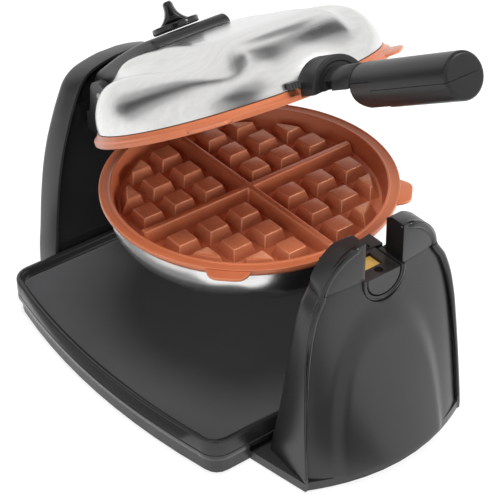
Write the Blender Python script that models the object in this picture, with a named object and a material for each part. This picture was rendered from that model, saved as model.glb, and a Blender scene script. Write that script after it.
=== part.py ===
"""A rotating Belgian waffle maker: two hinged grid halves that flip between two towers.

Metres, +Z up.  The origin is on the table, under the centre of the grids.  The flip
axis runs along Y: the handle end is at -Y, the hinge of the lid is at +Y.
"""
import math

import bmesh
import bpy
from mathutils import Matrix, Vector

# Heights and the flip axis
AXIS_HEIGHT = 0.146
FOOT_PROUD = 0.002
LID_OPEN_DEGREES = 28.45

# Clearances and general walls
SEAT_GAP = 0.0003
RUN_GAP = 0.0006
PLASTIC_WALL = 0.0026
CUT_OVERRUN = 0.02

# Cooking grids
RIM_RADIUS = 0.105
RIM_EDGE = 0.0024
SKIRT_INSET = 0.0035
SKIRT_RADIUS = RIM_RADIUS - SKIRT_INSET
SKIRT_DEPTH = 0.0078
SKIRT_WIDTH = 0.003
SHELL_LIP_RADIUS = SKIRT_RADIUS - SKIRT_WIDTH
RIM_WIDTH = 0.0085
CAVITY_RADIUS = RIM_RADIUS - RIM_WIDTH
CAVITY_DRAFT = 0.0025
CAVITY_DEPTH = 0.0145
GRID_WALL = 0.0022
MATING_GAP = 0.0006
STUD_PITCH = 0.026
STUD_FIRST = 0.0205
STUD_HALF_BASE = 0.0098
STUD_HALF_TOP = 0.0072
STUD_HEIGHT = 0.0090
STUDS_PER_ROW = 3
STUD_FIELD_INSET = 0.008
STUD_FIELD_RADIUS = CAVITY_RADIUS - STUD_FIELD_INSET
STUD_LEAST_REACH = 0.0075
CROSS_HALF_BASE = 0.0046
CROSS_HALF_TOP = 0.0022
CROSS_HEIGHT = 0.0105
CROSS_INSET = 0.004
CROSS_LENGTH = CAVITY_RADIUS - CROSS_INSET
TAB_WIDTH = 0.036
TAB_REACH = 0.0085
TAB_THICKNESS = 0.0022
TAB_ANGLES_DEGREES = (-45.0, 45.0)
TAB_TIP_SHARE = 0.62

# Steel shells, measured from the joint between grid and shell
JOINT_GAP = 0.0006
JOINT_HEIGHT = SKIRT_DEPTH + JOINT_GAP
SHELL_INSET = 0.001
SHELL_RADIUS = SKIRT_RADIUS - SHELL_INSET
SHELL_DEPTH = 0.0370
SHELL_THICKNESS = 0.0012
SHELL_RADIUS_SHARES = (1.0, 0.993, 0.967, 0.924, 0.853, 0.743, 0.55, 0.3, 0.12)
SHELL_DEPTH_SHARES = (0.0, 0.2, 0.41, 0.6, 0.78, 0.905, 0.975, 0.995, 1.0)
BAND_RISE = 0.0035
BAND_HALF_WIDTH = 0.040
BAND_SLOPE = 0.009
BAND_START_SHARE = 0.35

# Heating parts inside each shell
HEATER_INSET = 0.022
HEATER_TUBE = 0.0033
HEATER_OPENING_DEGREES = 40.0
REFLECTOR_INSET = 0.0085
REFLECTOR_RADIUS = CAVITY_RADIUS - REFLECTOR_INSET
HEATER_RADIUS = REFLECTOR_RADIUS - HEATER_INSET
REFLECTOR_THICKNESS = 0.001
THERMOSTAT_RADIUS = 0.0085
THERMOSTAT_HEIGHT = 0.006

# Front necks, which turn in the saddle of the front tower
NECK_RADIUS = 0.0142
NECK_FLAT = 0.0020
FLANGE_RADIUS = 0.0215
FLANGE_GAP = 0.0035
FLANGE_THICKNESS = 0.0087
FLANGE_NEAR = RIM_RADIUS + FLANGE_GAP
FLANGE_FAR = FLANGE_NEAR + FLANGE_THICKNESS
NECK_LENGTH = 0.0260
NECK_END = FLANGE_FAR + NECK_LENGTH
FLANGE_OVERLAP = 0.013
FLANGE_ROOT = RIM_RADIUS - FLANGE_OVERLAP
LENS_HALF_WIDTH = 0.0072
LENS_LENGTH = 0.0125
LENS_AWAY = 0.0028
LENS_NEAR = FLANGE_FAR + LENS_AWAY
LENS_FAR = LENS_NEAR + LENS_LENGTH
LENS_RECESS = 0.0042
LENS_THICKNESS = 0.0022
NECK_SCREW_RADIUS = 0.0027
NECK_SCREW_HEAD = 0.0012
NECK_SCREW_ASIDE = 0.0095
NECK_SCREW_BEFORE = 0.0070
NECK_SCREW_BEYOND = 0.0050

# Grid release buttons
BUTTON_ASIDE = 0.0245
BUTTON_WIDTH = 0.007
BUTTON_HEIGHT = 0.0045
BUTTON_LENGTH = 0.0065
BUTTON_TRAVEL = 0.0015
BUTTON_RIBS = 3
BUTTON_RIB_DEPTH = 0.0006
BUTTON_STEM_WIDTH = 0.004
BUTTON_STEM_HEIGHT = 0.0025
BUTTON_STEM_SEAT = 0.0007

# Hinge of the lid
HINGE_AWAY = 0.023
HINGE_BACK = RIM_RADIUS + HINGE_AWAY
HINGE_RISE = 0.021
HINGE_BARREL = 0.0188
HINGE_PIN_RADIUS = 0.0035
ARM_HALF_WIDTH = 0.032
ARM_FRONT = 0.036
ARM_PROUD = 0.0064
ARM_FALL = 0.0146
ARM_TOP_FRONT = JOINT_HEIGHT + SHELL_DEPTH + BAND_RISE + ARM_PROUD
ARM_TOP_BACK = ARM_TOP_FRONT - ARM_FALL
ARM_TOP_POWER = 1.6
ARM_THICKNESS = 0.0085
ARM_RUN_SHARES = (0.25, 0.5, 0.75, 0.9)
ARM_BACK_SHARE = 0.2
ARM_EDGE_SHARE = 0.2
ARM_HEEL_DEGREES = (50.0, 25.0, 0.0, -30.0, -60.0, -90.0, -120.0, -150.0)
ARM_THROAT_SHARE = 0.4
ARM_SLOPE_SHARE = 3.0
ARM_SHELL_SHARE = 0.8
CHEEK_THICKNESS = 0.0065
CHEEK_RADIUS = 0.012
CHEEK_HEEL_SHARE = 1.3
CHEEK_TOE_SHARE = 1.5
CHEEK_SINK = 0.005
YOKE_OVERLAP = 0.017
YOKE_BEYOND = 0.019
YOKE_NEAR = RIM_RADIUS - YOKE_OVERLAP
YOKE_FAR = HINGE_BACK + YOKE_BEYOND
YOKE_WEB_TOP = 0.0005
YOKE_WEB_THICKNESS = 0.014
BOSS_LENGTH = 0.0051
BOSS_PROUD = 0.0036
BOSS_FAR = YOKE_FAR + BOSS_PROUD
BOSS_NEAR = BOSS_FAR - BOSS_LENGTH
BOSS_RADIUS = 0.0145
SHAFT_RADIUS = 0.0090
SHAFT_BORE = 0.0055
SHAFT_LENGTH = 0.0251
SHAFT_END = BOSS_NEAR - RUN_GAP + SHAFT_LENGTH
COLLAR_RADIUS = 0.0135
COLLAR_LENGTH = 0.004
COLLAR_FROM_END = 0.0055

# Dial on the arm
DIAL_BACK = 0.057
DIAL_RADIUS = 0.0170
DIAL_SKIRT = 0.0055
DIAL_HEIGHT = 0.0205
DIAL_FIN_HALF_WIDTH = 0.0036
DIAL_FLARE_HALF_WIDTH = 0.0125
DIAL_TURN_DEGREES = 30.0
DIAL_TAPER_SHARE = 0.12
DIAL_FLARE_POWER = 3
DIAL_STEPS = 5
DIAL_STEM_RADIUS = 0.003
DIAL_STEM_DEPTH = 0.0020

# Handle
HANDLE_RADIUS = 0.0146
HANDLE_END_ROUND = 0.0025
FOLD_AWAY = 0.0168
FOLD_BACK = NECK_END + FOLD_AWAY
GRIP_LENGTH = 0.0790
HANDLE_END = FOLD_BACK + GRIP_LENGTH
KNUCKLE_RADIUS = 0.0142
TONGUE_HALF_WIDTH = 0.0072
TONGUE_RADIUS = 0.0100

# Front tower
FRONT_FOOT_HALF_WIDTH = 0.0700
FRONT_WIDTH_SHARES = ((0.0, 1.0), (0.25, 0.982), (0.5, 0.955), (0.66, 0.93), (0.8, 0.885),
                      (0.91, 0.815), (1.0, 0.71))
FRONT_SEAM_RISE = 0.0030
FRONT_AWAY = 0.0031
FRONT_REAR_LEAN = 0.0163
FRONT_REAR_SEAM = FLANGE_FAR + FRONT_AWAY
FRONT_REAR_FOOT = FRONT_REAR_SEAM - FRONT_REAR_LEAN
SADDLE_PROUD = 0.0010
SADDLE_SHORT = 0.0002
FRONT_CENTRE_SEAM = NECK_END - SADDLE_SHORT
FRONT_CENTRE_LEAN = 0.0235
FRONT_CENTRE_FOOT = FRONT_CENTRE_SEAM + FRONT_CENTRE_LEAN
FRONT_EDGE_BACK = 0.0045
FRONT_EDGE_LEAN = 0.0115
FRONT_EDGE_SEAM = FRONT_CENTRE_SEAM - FRONT_EDGE_BACK
FRONT_EDGE_FOOT = FRONT_EDGE_SEAM + FRONT_EDGE_LEAN
FRONT_REAR_TAPER = 0.0035
FRONT_REAR_EASE_SHARE = 1.08
FRONT_CENTRE_POWER = 1.35
FRONT_CORNER_ROUND = 0.006
FACE_GROOVE = 0.0012
FACE_EDGE_DROP = 0.0022
FACE_EDGE_POWER = 10
SLOT_HALF_WIDTH = 0.0160
SADDLE_WALL = 0.0030
CAP_REAR_INSET = 0.0032
CAP_FRONT_INSET = 0.0006
CAP_REAR = FRONT_REAR_SEAM + CAP_REAR_INSET
CAP_FRONT = FRONT_CENTRE_SEAM - CAP_FRONT_INSET
CAP_HEIGHT = 0.0290
CAP_OUTLINE_SHARES = ((1.0, 0.0), (0.965, 0.17), (0.90, 0.345), (0.80, 0.525), (0.66, 0.70),
                      (0.504, 0.828), (0.33, 0.92), (0.16, 0.975), (0.0, 1.0))
CAP_WALL = 0.0026

# Rear tower
REAR_HALF_WIDTH = 0.0765
REAR_TOP_RISE = 0.0370
REAR_TOP_DROP = 0.0083
REAR_OUTLINE_SHARES = ((1.0, 0.0), (0.988, 0.1), (0.96, 0.2), (0.925, 0.34), (0.87, 0.5),
                       (0.80, 0.635), (0.71, 0.755), (0.625, 0.85), (0.545, 0.92),
                       (0.43, 0.965), (0.27, 0.988), (0.1, 1.0))
REAR_PANEL_GAP = 0.0012
REAR_PANEL_SUNK = 0.0023
REAR_DEPTH = 0.0285
REAR_PANEL_FRONT = BOSS_FAR + REAR_PANEL_GAP
REAR_BAND_FRONT = REAR_PANEL_FRONT - REAR_PANEL_SUNK
REAR_BACK = REAR_BAND_FRONT + REAR_DEPTH
REAR_BACK_ROUND = 0.007
REAR_ROUND_SHARE = 0.3
REAR_BACK_WALL = 0.0026
REAR_PANEL_THICKNESS = 0.0026
BUSH_WALL = 0.0045
BUSH_LENGTH = 0.0065
INLET_RADIUS = 0.0065
INLET_LENGTH = 0.006
INLET_BORE = 0.0030
INLET_HEIGHT = 0.030
CLEAT_HALF_WIDTH = 0.006
CLEAT_REACH = 0.016
CLEAT_HEIGHT = 0.010
CLEAT_ASIDE = 0.012
CLEAT_LIP = 0.004
CLEAT_TOP_RISE = 0.0050
CLEAT_LOW_RISE = -0.0700

# Base and drip tray
TRAY_HALF_WIDTH = 0.1265
TRAY_BOW = 0.0140
TRAY_BOW_AFT = 0.0124
TRAY_FRONT_GAP = 0.0005
TRAY_REAR_GAP = 0.0007
TRAY_FRONT = FRONT_REAR_FOOT - TRAY_FRONT_GAP
TRAY_REAR = REAR_BAND_FRONT - TRAY_REAR_GAP
TRAY_CORNER = 0.016
TRAY_RIM_HEIGHT = 0.0320
TRAY_SKIRT_HEIGHT = 0.0146
TRAY_WALL = 0.0024
TRAY_RIM_WIDTH = 0.0045
TRAY_FLOOR_DROP = 0.0080
PAN_INSET = 0.0030
PAN_WALL = 0.003
PAN_TOP = 0.0143
PAN_FLOOR = 0.0030
FOOT_RIM_HEIGHT = 0.0090
FOOT_FLARE = 0.0100
FOOT_RADIUS = 0.0080
FOOT_ASIDE_FRONT = 0.050
FOOT_ASIDE_REAR = 0.062
FOOT_FROM_FRONT = 0.0360
FOOT_FROM_REAR = 0.0145
FOOT_FRONT = FRONT_REAR_FOOT + FOOT_FROM_FRONT
FOOT_REAR = REAR_BAND_FRONT + FOOT_FROM_REAR

# Mesh fineness
PLATE_SEGMENTS = 60
NECK_SEGMENTS = 36
SMALL_SEGMENTS = 20
TRAY_STEPS = 10
CORNER_STEPS = 4
FACE_STEPS = 14
SHARP_DEGREES = 34.0

MATERIALS = {
    "black_plastic": ((0.030, 0.030, 0.032), 0.45, 0.0),
    "gloss_plastic": ((0.010, 0.010, 0.011), 0.10, 0.0),
    "brushed_steel": ((0.62, 0.61, 0.60), 0.26, 1.0),
    "copper_ceramic": ((0.58, 0.22, 0.11), 0.38, 0.3),
    "amber_lens": ((0.75, 0.45, 0.10), 0.25, 0.0),
    "tray_plastic": ((0.018, 0.018, 0.020), 0.38, 0.0),
    "plain_steel": ((0.45, 0.44, 0.43), 0.35, 1.0),
    "dark_steel": ((0.06, 0.06, 0.065), 0.40, 1.0),
    "rubber": ((0.02, 0.02, 0.02), 0.85, 0.0),
    "phenolic": ((0.30, 0.20, 0.12), 0.60, 0.0),
}

AXIS = Vector((0.0, 0.0, AXIS_HEIGHT))
HINGE = AXIS + Vector((0.0, HINGE_BACK, HINGE_RISE))
FOLD = AXIS + Vector((0.0, -FOLD_BACK, 0.0))


def clear_scene():
    """Removes what the new file starts with."""
    for obj in list(bpy.data.objects):
        bpy.data.objects.remove(obj, do_unlink=True)


def material(name):
    """The Principled material of this name, made once."""
    if name in bpy.data.materials:
        return bpy.data.materials[name]
    colour, roughness, metallic = MATERIALS[name]
    made = bpy.data.materials.new(name)
    made.use_nodes = True
    shader = made.node_tree.nodes["Principled BSDF"]
    shader.inputs["Base Color"].default_value = (*colour, 1.0)
    shader.inputs["Roughness"].default_value = roughness
    shader.inputs["Metallic"].default_value = metallic
    return made


def new_object(name, bm):
    """Turns a closed bmesh into an object with its faces pointing out."""
    bmesh.ops.remove_doubles(bm, verts=bm.verts, dist=SEAT_GAP * SEAT_GAP)
    bmesh.ops.recalc_face_normals(bm, faces=bm.faces)
    mesh = bpy.data.meshes.new(name)
    bm.to_mesh(mesh)
    bm.free()
    obj = bpy.data.objects.new(name, mesh)
    bpy.context.scene.collection.objects.link(obj)
    return obj


def loft(name, rings):
    """A closed body through rings of as many points each, with flat ends."""
    bm = bmesh.new()
    rows = [[bm.verts.new(point) for point in ring] for ring in rings]
    count = len(rows[0])
    for lower, upper in zip(rows, rows[1:]):
        for i in range(count):
            j = (i + 1) % count
            bm.faces.new((lower[i], lower[j], upper[j], upper[i]))
    bm.faces.new(rows[0][::-1])
    bm.faces.new(rows[-1])
    return new_object(name, bm)


def prism(name, outline, axis, start, end):
    """Extrudes an outline of (u, v) points along X, Y or Z."""
    def place(u, v, w):
        return {"X": (w, u, v), "Y": (u, w, v), "Z": (u, v, w)}[axis]
    return loft(name, [[place(u, v, w) for u, v in outline] for w in (start, end)])


def box(name, low, high):
    """An upright box between two corners."""
    outline = [(low[0], low[1]), (high[0], low[1]), (high[0], high[1]), (low[0], high[1])]
    return prism(name, outline, "Z", low[2], high[2])


def turned(name, profile, segments, along="Z"):
    """Turns a profile of (radius, height) points; one that starts on the axis also ends there."""
    def place(radius, height, angle):
        u = radius * math.cos(angle)
        v = radius * math.sin(angle)
        return {"X": (height, u, v), "Y": (u, height, v), "Z": (u, v, height)}[along]

    bm = bmesh.new()
    rows = []
    for radius, height in profile:
        if radius == 0:
            rows.append([bm.verts.new(place(0.0, height, 0.0))])
        else:
            rows.append([bm.verts.new(place(radius, height, 2 * math.pi * i / segments))
                         for i in range(segments)])
    closed = profile[0][0] > 0
    pairs = list(zip(rows, rows[1:])) + ([(rows[-1], rows[0])] if closed else [])
    for lower, upper in pairs:
        for i in range(segments):
            j = (i + 1) % segments
            corners = [lower[i % len(lower)], lower[j % len(lower)],
                       upper[j % len(upper)], upper[i % len(upper)]]
            unique = list(dict.fromkeys(corners))
            if len(unique) > 2:
                bm.faces.new(unique)
    return new_object(name, bm)


def rod(name, radius, start, end, segments, along="Y"):
    """A plain cylinder on one of the axes."""
    return turned(name, [(0.0, start), (radius, start), (radius, end), (0.0, end)], segments, along)


def tube(name, outer, inner, start, end, segments, along="Y"):
    """A plain ring on one of the axes."""
    profile = [(inner, start), (outer, start), (outer, end), (inner, end)]
    return turned(name, profile, segments, along)


def combine(obj, tool, operation):
    """Joins, cuts or keeps what two bodies share, and removes the tool."""
    modifier = obj.modifiers.new(operation.lower(), "BOOLEAN")
    modifier.object = tool
    modifier.operation = operation
    modifier.solver = "EXACT"
    depsgraph = bpy.context.evaluated_depsgraph_get()
    mesh = bpy.data.meshes.new_from_object(obj.evaluated_get(depsgraph))
    obj.modifiers.clear()
    obj.data = mesh
    bpy.data.objects.remove(tool, do_unlink=True)
    return obj


def cut(obj, *tools):
    for tool in tools:
        combine(obj, tool, "DIFFERENCE")
    return obj


def join(obj, *tools):
    for tool in tools:
        combine(obj, tool, "UNION")
    return obj


def move(obj, offset):
    """Moves the mesh itself, so that the object's own origin stays."""
    obj.data.transform(Matrix.Translation(Vector(offset)))
    return obj


def turn(obj, degrees, axis):
    """Turns the mesh about one of the axes."""
    obj.data.transform(Matrix.Rotation(math.radians(degrees), 4, axis))
    return obj


def axis_frame(name, at, parent=None, degrees=0.0):
    """An empty on a joint's axis; degrees tilts it about X."""
    empty = bpy.data.objects.new(name, None)
    bpy.context.scene.collection.objects.link(empty)
    empty.location = at if parent is None else at - Vector(parent["rest_place"])
    empty["rest_place"] = at
    empty.rotation_euler = (math.radians(degrees), 0.0, 0.0)
    empty.parent = parent
    return empty


def finish(obj, material_name, frame, smooth=True):
    """Gives the piece its material and hangs it on its joint's empty."""
    obj.data.materials.clear()
    obj.data.materials.append(material(material_name))
    for polygon in obj.data.polygons:
        polygon.material_index = 0
    if smooth:
        obj.data.shade_smooth()
        obj.data.set_sharp_from_angle(angle=math.radians(SHARP_DEGREES))
    if frame is not None:
        place = Vector(frame["rest_place"])
        obj.data.transform(Matrix.Translation(-place))
        obj.parent = frame
    return obj


def offset_outline(points, inset):
    """Moves each side of an outline inwards by the same distance."""
    count = len(points)
    area = sum(points[i][0] * points[(i + 1) % count][1] - points[(i + 1) % count][0] * points[i][1]
               for i in range(count))
    side = 1.0 if area > 0 else -1.0
    moved = []
    for i in range(count):
        before = Vector(points[i - 1])
        here = Vector(points[i])
        after = Vector(points[(i + 1) % count])
        first = (here - before).normalized()
        second = (after - here).normalized()
        normal_a = Vector((-first.y, first.x)) * side
        normal_b = Vector((-second.y, second.x)) * side
        middle = (normal_a + normal_b).normalized()
        moved.append(tuple(here + middle * inset / max(middle.dot(normal_a), 0.35)))
    return moved


def interpolate(table, share):
    """Reads a table of (share, value) pairs."""
    for (a, value_a), (b, value_b) in zip(table, table[1:]):
        if share <= b:
            t = (share - a) / (b - a)
            return value_a + (value_b - value_a) * t
    return table[-1][1]


def grid_profile():
    """Section of a cooking grid, (radius, depth below the mating plane)."""
    floor = CAVITY_DEPTH
    under = CAVITY_DEPTH + GRID_WALL
    foot_radius = CAVITY_RADIUS - CAVITY_DRAFT
    return [
        (0.0, floor),
        (foot_radius, floor),
        (CAVITY_RADIUS, MATING_GAP),
        (RIM_RADIUS - RIM_EDGE / 2, MATING_GAP),
        (RIM_RADIUS, MATING_GAP + RIM_EDGE / 2),
        (RIM_RADIUS, MATING_GAP + RIM_EDGE),
        (SKIRT_RADIUS, SKIRT_DEPTH),
        (SHELL_LIP_RADIUS, SKIRT_DEPTH),
        (foot_radius + GRID_WALL, under - GRID_WALL / 2),
        (foot_radius, under),
        (0.0, under),
    ]


def frustum(name, half_base, half_top, base, top, centre=(0.0, 0.0), half_length=None):
    """A tapered block from its base to its top."""
    rings = []
    for half, height in ((half_base, base), (half_top, top)):
        long_half = half if half_length is None else half_length - (half_base - half)
        x, y = centre
        rings.append([(x - half, y - long_half, height), (x + half, y - long_half, height),
                      (x + half, y + long_half, height), (x - half, y + long_half, height)])
    return loft(name, rings)


def stud_field(name):
    """The studs of all quadrants, cut to the round field, with the raised cross."""
    sink = GRID_WALL / 2
    base = -CAVITY_DEPTH - sink
    top = -CAVITY_DEPTH + STUD_HEIGHT
    spread = STUD_HALF_BASE + (STUD_HALF_BASE - STUD_HALF_TOP) * sink / STUD_HEIGHT
    cross = frustum(name, CROSS_HALF_BASE, CROSS_HALF_TOP, base, -CAVITY_DEPTH + CROSS_HEIGHT,
                    half_length=CROSS_LENGTH)
    other = frustum("cross_other", CROSS_HALF_BASE, CROSS_HALF_TOP, base,
                    -CAVITY_DEPTH + CROSS_HEIGHT, half_length=CROSS_LENGTH)
    join(cross, turn(other, 90.0, "Z"))
    bm = bmesh.new()
    bm.from_mesh(cross.data)
    places = [STUD_FIRST + STUD_PITCH * i for i in range(STUDS_PER_ROW)]
    whole = []
    trimmed = []
    for px in places:
        for py in places:
            near = math.hypot(px - STUD_HALF_TOP, py - STUD_HALF_TOP)
            far = math.hypot(px + STUD_HALF_BASE, py + STUD_HALF_BASE)
            if near > STUD_FIELD_RADIUS - STUD_LEAST_REACH:
                continue
            (trimmed if far > STUD_FIELD_RADIUS else whole).append((px, py))
    for px, py in whole + trimmed:
        for sx in (-1, 1):
            for sy in (-1, 1):
                stud = frustum("stud", spread, STUD_HALF_TOP, base, top, (px * sx, py * sy))
                if (px, py) in trimmed:
                    slope = STUD_HALF_BASE - STUD_HALF_TOP
                    field = turned("field", [(0.0, base - CUT_OVERRUN),
                                             (STUD_FIELD_RADIUS + slope, base - CUT_OVERRUN),
                                             (STUD_FIELD_RADIUS + slope, base),
                                             (STUD_FIELD_RADIUS - slope, top),
                                             (STUD_FIELD_RADIUS - slope, top + CUT_OVERRUN),
                                             (0.0, top + CUT_OVERRUN)], PLATE_SEGMENTS)
                    combine(stud, field, "INTERSECT")
                bm.from_mesh(stud.data)
                bpy.data.objects.remove(stud, do_unlink=True)
    bm.to_mesh(cross.data)
    bm.free()
    return cross


def make_grid(name):
    """A cooking grid that looks up: cavity, studs, cross, rim, skirt and two finger tabs."""
    profile = [(radius, -depth) for radius, depth in grid_profile()]
    grid = turned(name, profile, PLATE_SEGMENTS)
    join(grid, stud_field("studs"))
    for degrees in TAB_ANGLES_DEGREES:
        reach = RIM_RADIUS + TAB_REACH
        root = RIM_RADIUS - TAB_REACH
        half = TAB_WIDTH / 2
        tip = half * TAB_TIP_SHARE
        outline = [(-half, -root), (-tip, -reach), (tip, -reach), (half, -root)]
        top = -MATING_GAP - RIM_EDGE / 2
        tab = prism("tab", outline, "Z", top - TAB_THICKNESS, top)
        inner = turned("inner", [(0.0, -CUT_OVERRUN), (CAVITY_RADIUS + GRID_WALL, -CUT_OVERRUN),
                                 (CAVITY_RADIUS + GRID_WALL, CUT_OVERRUN), (0.0, CUT_OVERRUN)],
                       PLATE_SEGMENTS)
        cut(tab, inner)
        join(grid, turn(tab, degrees, "Z"))
    return grid


def shell_rings(growth):
    """Outer surface of a shell that looks down, grown by a distance, as rings from the lip."""
    rings = []
    steps = len(SHELL_RADIUS_SHARES)
    for k in range(steps):
        depth_share = SHELL_DEPTH_SHARES[k]
        flat = depth_share ** 2
        radius = SHELL_RADIUS * SHELL_RADIUS_SHARES[k] + growth * (1 - flat * 0.5)
        depth = SHELL_DEPTH * depth_share + growth * flat
        fade = min(1.0, max(0.0, (depth_share - BAND_START_SHARE) / (1 - BAND_START_SHARE)))
        fade = fade * fade * (3 - 2 * fade)
        ring = []
        for i in range(PLATE_SEGMENTS):
            angle = 2 * math.pi * i / PLATE_SEGMENTS
            x = radius * math.cos(angle)
            y = radius * math.sin(angle)
            side = min(1.0, max(0.0, (BAND_HALF_WIDTH + BAND_SLOPE / 2 - abs(x)) / BAND_SLOPE))
            rise = BAND_RISE * fade * side * side * (3 - 2 * side)
            ring.append((x, y, -JOINT_HEIGHT - depth - rise))
        rings.append(ring)
    return rings


def make_shell(name):
    """A pressed steel shell, a closed sheet of even thickness."""
    outer = shell_rings(0.0)
    inner = shell_rings(-SHELL_THICKNESS)
    bm = bmesh.new()
    surfaces = []
    for rings in (outer, inner):
        rows = [[bm.verts.new(point) for point in ring] for ring in rings]
        centre = bm.verts.new((0.0, 0.0, sum(point[2] for point in rings[-1]) / PLATE_SEGMENTS))
        for lower, upper in zip(rows, rows[1:]):
            for i in range(PLATE_SEGMENTS):
                j = (i + 1) % PLATE_SEGMENTS
                bm.faces.new((lower[i], lower[j], upper[j], upper[i]))
        for i in range(PLATE_SEGMENTS):
            bm.faces.new((rows[-1][i], rows[-1][(i + 1) % PLATE_SEGMENTS], centre))
        surfaces.append(rows)
    for i in range(PLATE_SEGMENTS):
        j = (i + 1) % PLATE_SEGMENTS
        bm.faces.new((surfaces[0][0][i], surfaces[0][0][j], surfaces[1][0][j], surfaces[1][0][i]))
    return new_object(name, bm)


def make_windowed_shell(name):
    """A shell with the window of its release button."""
    shell = make_shell(name)
    window = button_stem("window", SEAT_GAP, CUT_OVERRUN)
    return cut(shell, turn(window, button_turn(), "Z"))


def shell_envelope(name):
    """The space of a shell and its grid with the seat gap round it, as a cutting tool."""
    rings = shell_rings(SEAT_GAP)
    top = [(x, y, 0.0) for x, y, z in rings[0]]
    return loft(name, [top] + rings)


def grid_envelope(name):
    """The space of a grid's rim with the seat gap round it, as a cutting tool."""
    radius = RIM_RADIUS + SEAT_GAP
    return rod(name, radius, -JOINT_HEIGHT - SEAT_GAP, CUT_OVERRUN, PLATE_SEGMENTS, "Z")


def make_heater(name):
    """A heating element: a bent tube with its two ends near the hinge."""
    radius = HEATER_RADIUS
    height = -CAVITY_DEPTH - GRID_WALL - SEAT_GAP - HEATER_TUBE
    gap = math.radians(HEATER_OPENING_DEGREES)
    steps = PLATE_SEGMENTS // 2
    rings = []
    for k in range(steps + 1):
        angle = math.pi / 2 + gap / 2 + (2 * math.pi - gap) * k / steps
        ring = []
        for i in range(SMALL_SEGMENTS // 2):
            turn_angle = 4 * math.pi * i / SMALL_SEGMENTS
            r = radius + HEATER_TUBE * math.cos(turn_angle)
            z = height + HEATER_TUBE * math.sin(turn_angle)
            ring.append((r * math.cos(angle), r * math.sin(angle), z))
        rings.append(ring)
    return loft(name, rings)


def reflector_top():
    return -CAVITY_DEPTH - GRID_WALL - 2 * (SEAT_GAP + HEATER_TUBE)


def make_reflector(name):
    """The plate that holds the heater against the grid."""
    top = reflector_top()
    return rod(name, REFLECTOR_RADIUS, top - REFLECTOR_THICKNESS, top, PLATE_SEGMENTS, "Z")


def make_thermostat(name):
    """The disc thermostat under the reflector."""
    top = reflector_top() - REFLECTOR_THICKNESS - SEAT_GAP
    return rod(name, THERMOSTAT_RADIUS, top - THERMOSTAT_HEIGHT, top, SMALL_SEGMENTS, "Z")


def half_round(name, radius, near, far, flat):
    """A cylinder along -Y from near to far, below the flat."""
    body = rod(name, radius, -far, -near, NECK_SEGMENTS)
    above = box("above", (-radius - CUT_OVERRUN, -far - CUT_OVERRUN, flat),
                (radius + CUT_OVERRUN, -near + CUT_OVERRUN, radius + CUT_OVERRUN))
    return cut(body, above)


def make_neck(name, flat):
    """A half neck that looks down: thick flange on the shell and half-round journal."""
    neck = half_round(name, NECK_RADIUS, FLANGE_FAR - SEAT_GAP, NECK_END, flat)
    flange = half_round("flange", FLANGE_RADIUS, FLANGE_ROOT, FLANGE_FAR, flat)
    join(neck, flange)
    cut(neck, shell_envelope("shell_space"), grid_envelope("grid_space"))
    return neck


def lens_space(name, growth):
    """The lens, or with some growth the recess it sits in."""
    top = NECK_FLAT - LENS_RECESS + LENS_THICKNESS if growth == 0 else NECK_FLAT + CUT_OVERRUN
    low = (-LENS_HALF_WIDTH - growth, -LENS_FAR - growth, NECK_FLAT - LENS_RECESS - growth)
    high = (LENS_HALF_WIDTH + growth, -LENS_NEAR + growth, top)
    return box(name, low, high)


def button_height():
    """Middle height of a lower button, under the joint of grid and shell."""
    return -JOINT_HEIGHT - SEAT_GAP - BUTTON_HEIGHT / 2


def button_turn():
    """Turns a button from the front centre to its place beside the neck."""
    return math.degrees(math.asin(BUTTON_ASIDE / RIM_RADIUS))


def button_stem(name, growth, seat):
    """The stem in the shell, or with some growth and a deeper seat its window."""
    near = SHELL_RADIUS - seat
    far = SHELL_RADIUS + RUN_GAP + BUTTON_TRAVEL + BUTTON_LENGTH / 2
    half = BUTTON_STEM_WIDTH / 2 + growth
    middle = button_height()
    rise = BUTTON_STEM_HEIGHT / 2 + growth
    return box(name, (-half, -far, middle - rise), (half, -near, middle + rise))


def make_button(name):
    """A ribbed push button in front of the shell, with its stem."""
    near = SHELL_RADIUS + RUN_GAP + BUTTON_TRAVEL
    half = BUTTON_WIDTH / 2
    low = button_height() - BUTTON_HEIGHT / 2
    button = box(name, (-half, -near - BUTTON_LENGTH, low), (half, -near, low + BUTTON_HEIGHT))
    join(button, button_stem("stem", 0.0, BUTTON_STEM_SEAT))
    rib = BUTTON_WIDTH / (2 * BUTTON_RIBS + 1)
    for i in range(BUTTON_RIBS):
        left = -half + rib * (2 * i + 1)
        groove = box("groove", (left, -near - BUTTON_LENGTH - CUT_OVERRUN, low - CUT_OVERRUN),
                     (left + rib, -near - BUTTON_LENGTH + BUTTON_RIB_DEPTH, low + CUT_OVERRUN))
        cut(button, groove)
    return button


def upside_down(obj):
    """Turns a lower piece half round the flip axis, which makes it the upper one."""
    return turn(obj, 180.0, "Y")


def make_halves(iron, lid):
    """The pieces that both halves share."""
    for label, frame, flip in (("lower", iron, False), ("upper", lid, True)):
        pieces = [
            (make_grid(label + "_grid"), "copper_ceramic"),
            (make_windowed_shell(label + "_shell"), "brushed_steel"),
            (make_heater(label + "_heater"), "dark_steel"),
            (make_reflector(label + "_reflector"), "plain_steel"),
            (make_thermostat(label + "_thermostat"), "phenolic"),
        ]
        for obj, material_name in pieces:
            if flip:
                upside_down(obj)
            move(obj, AXIS)
            finish(obj, material_name, frame)


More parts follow.
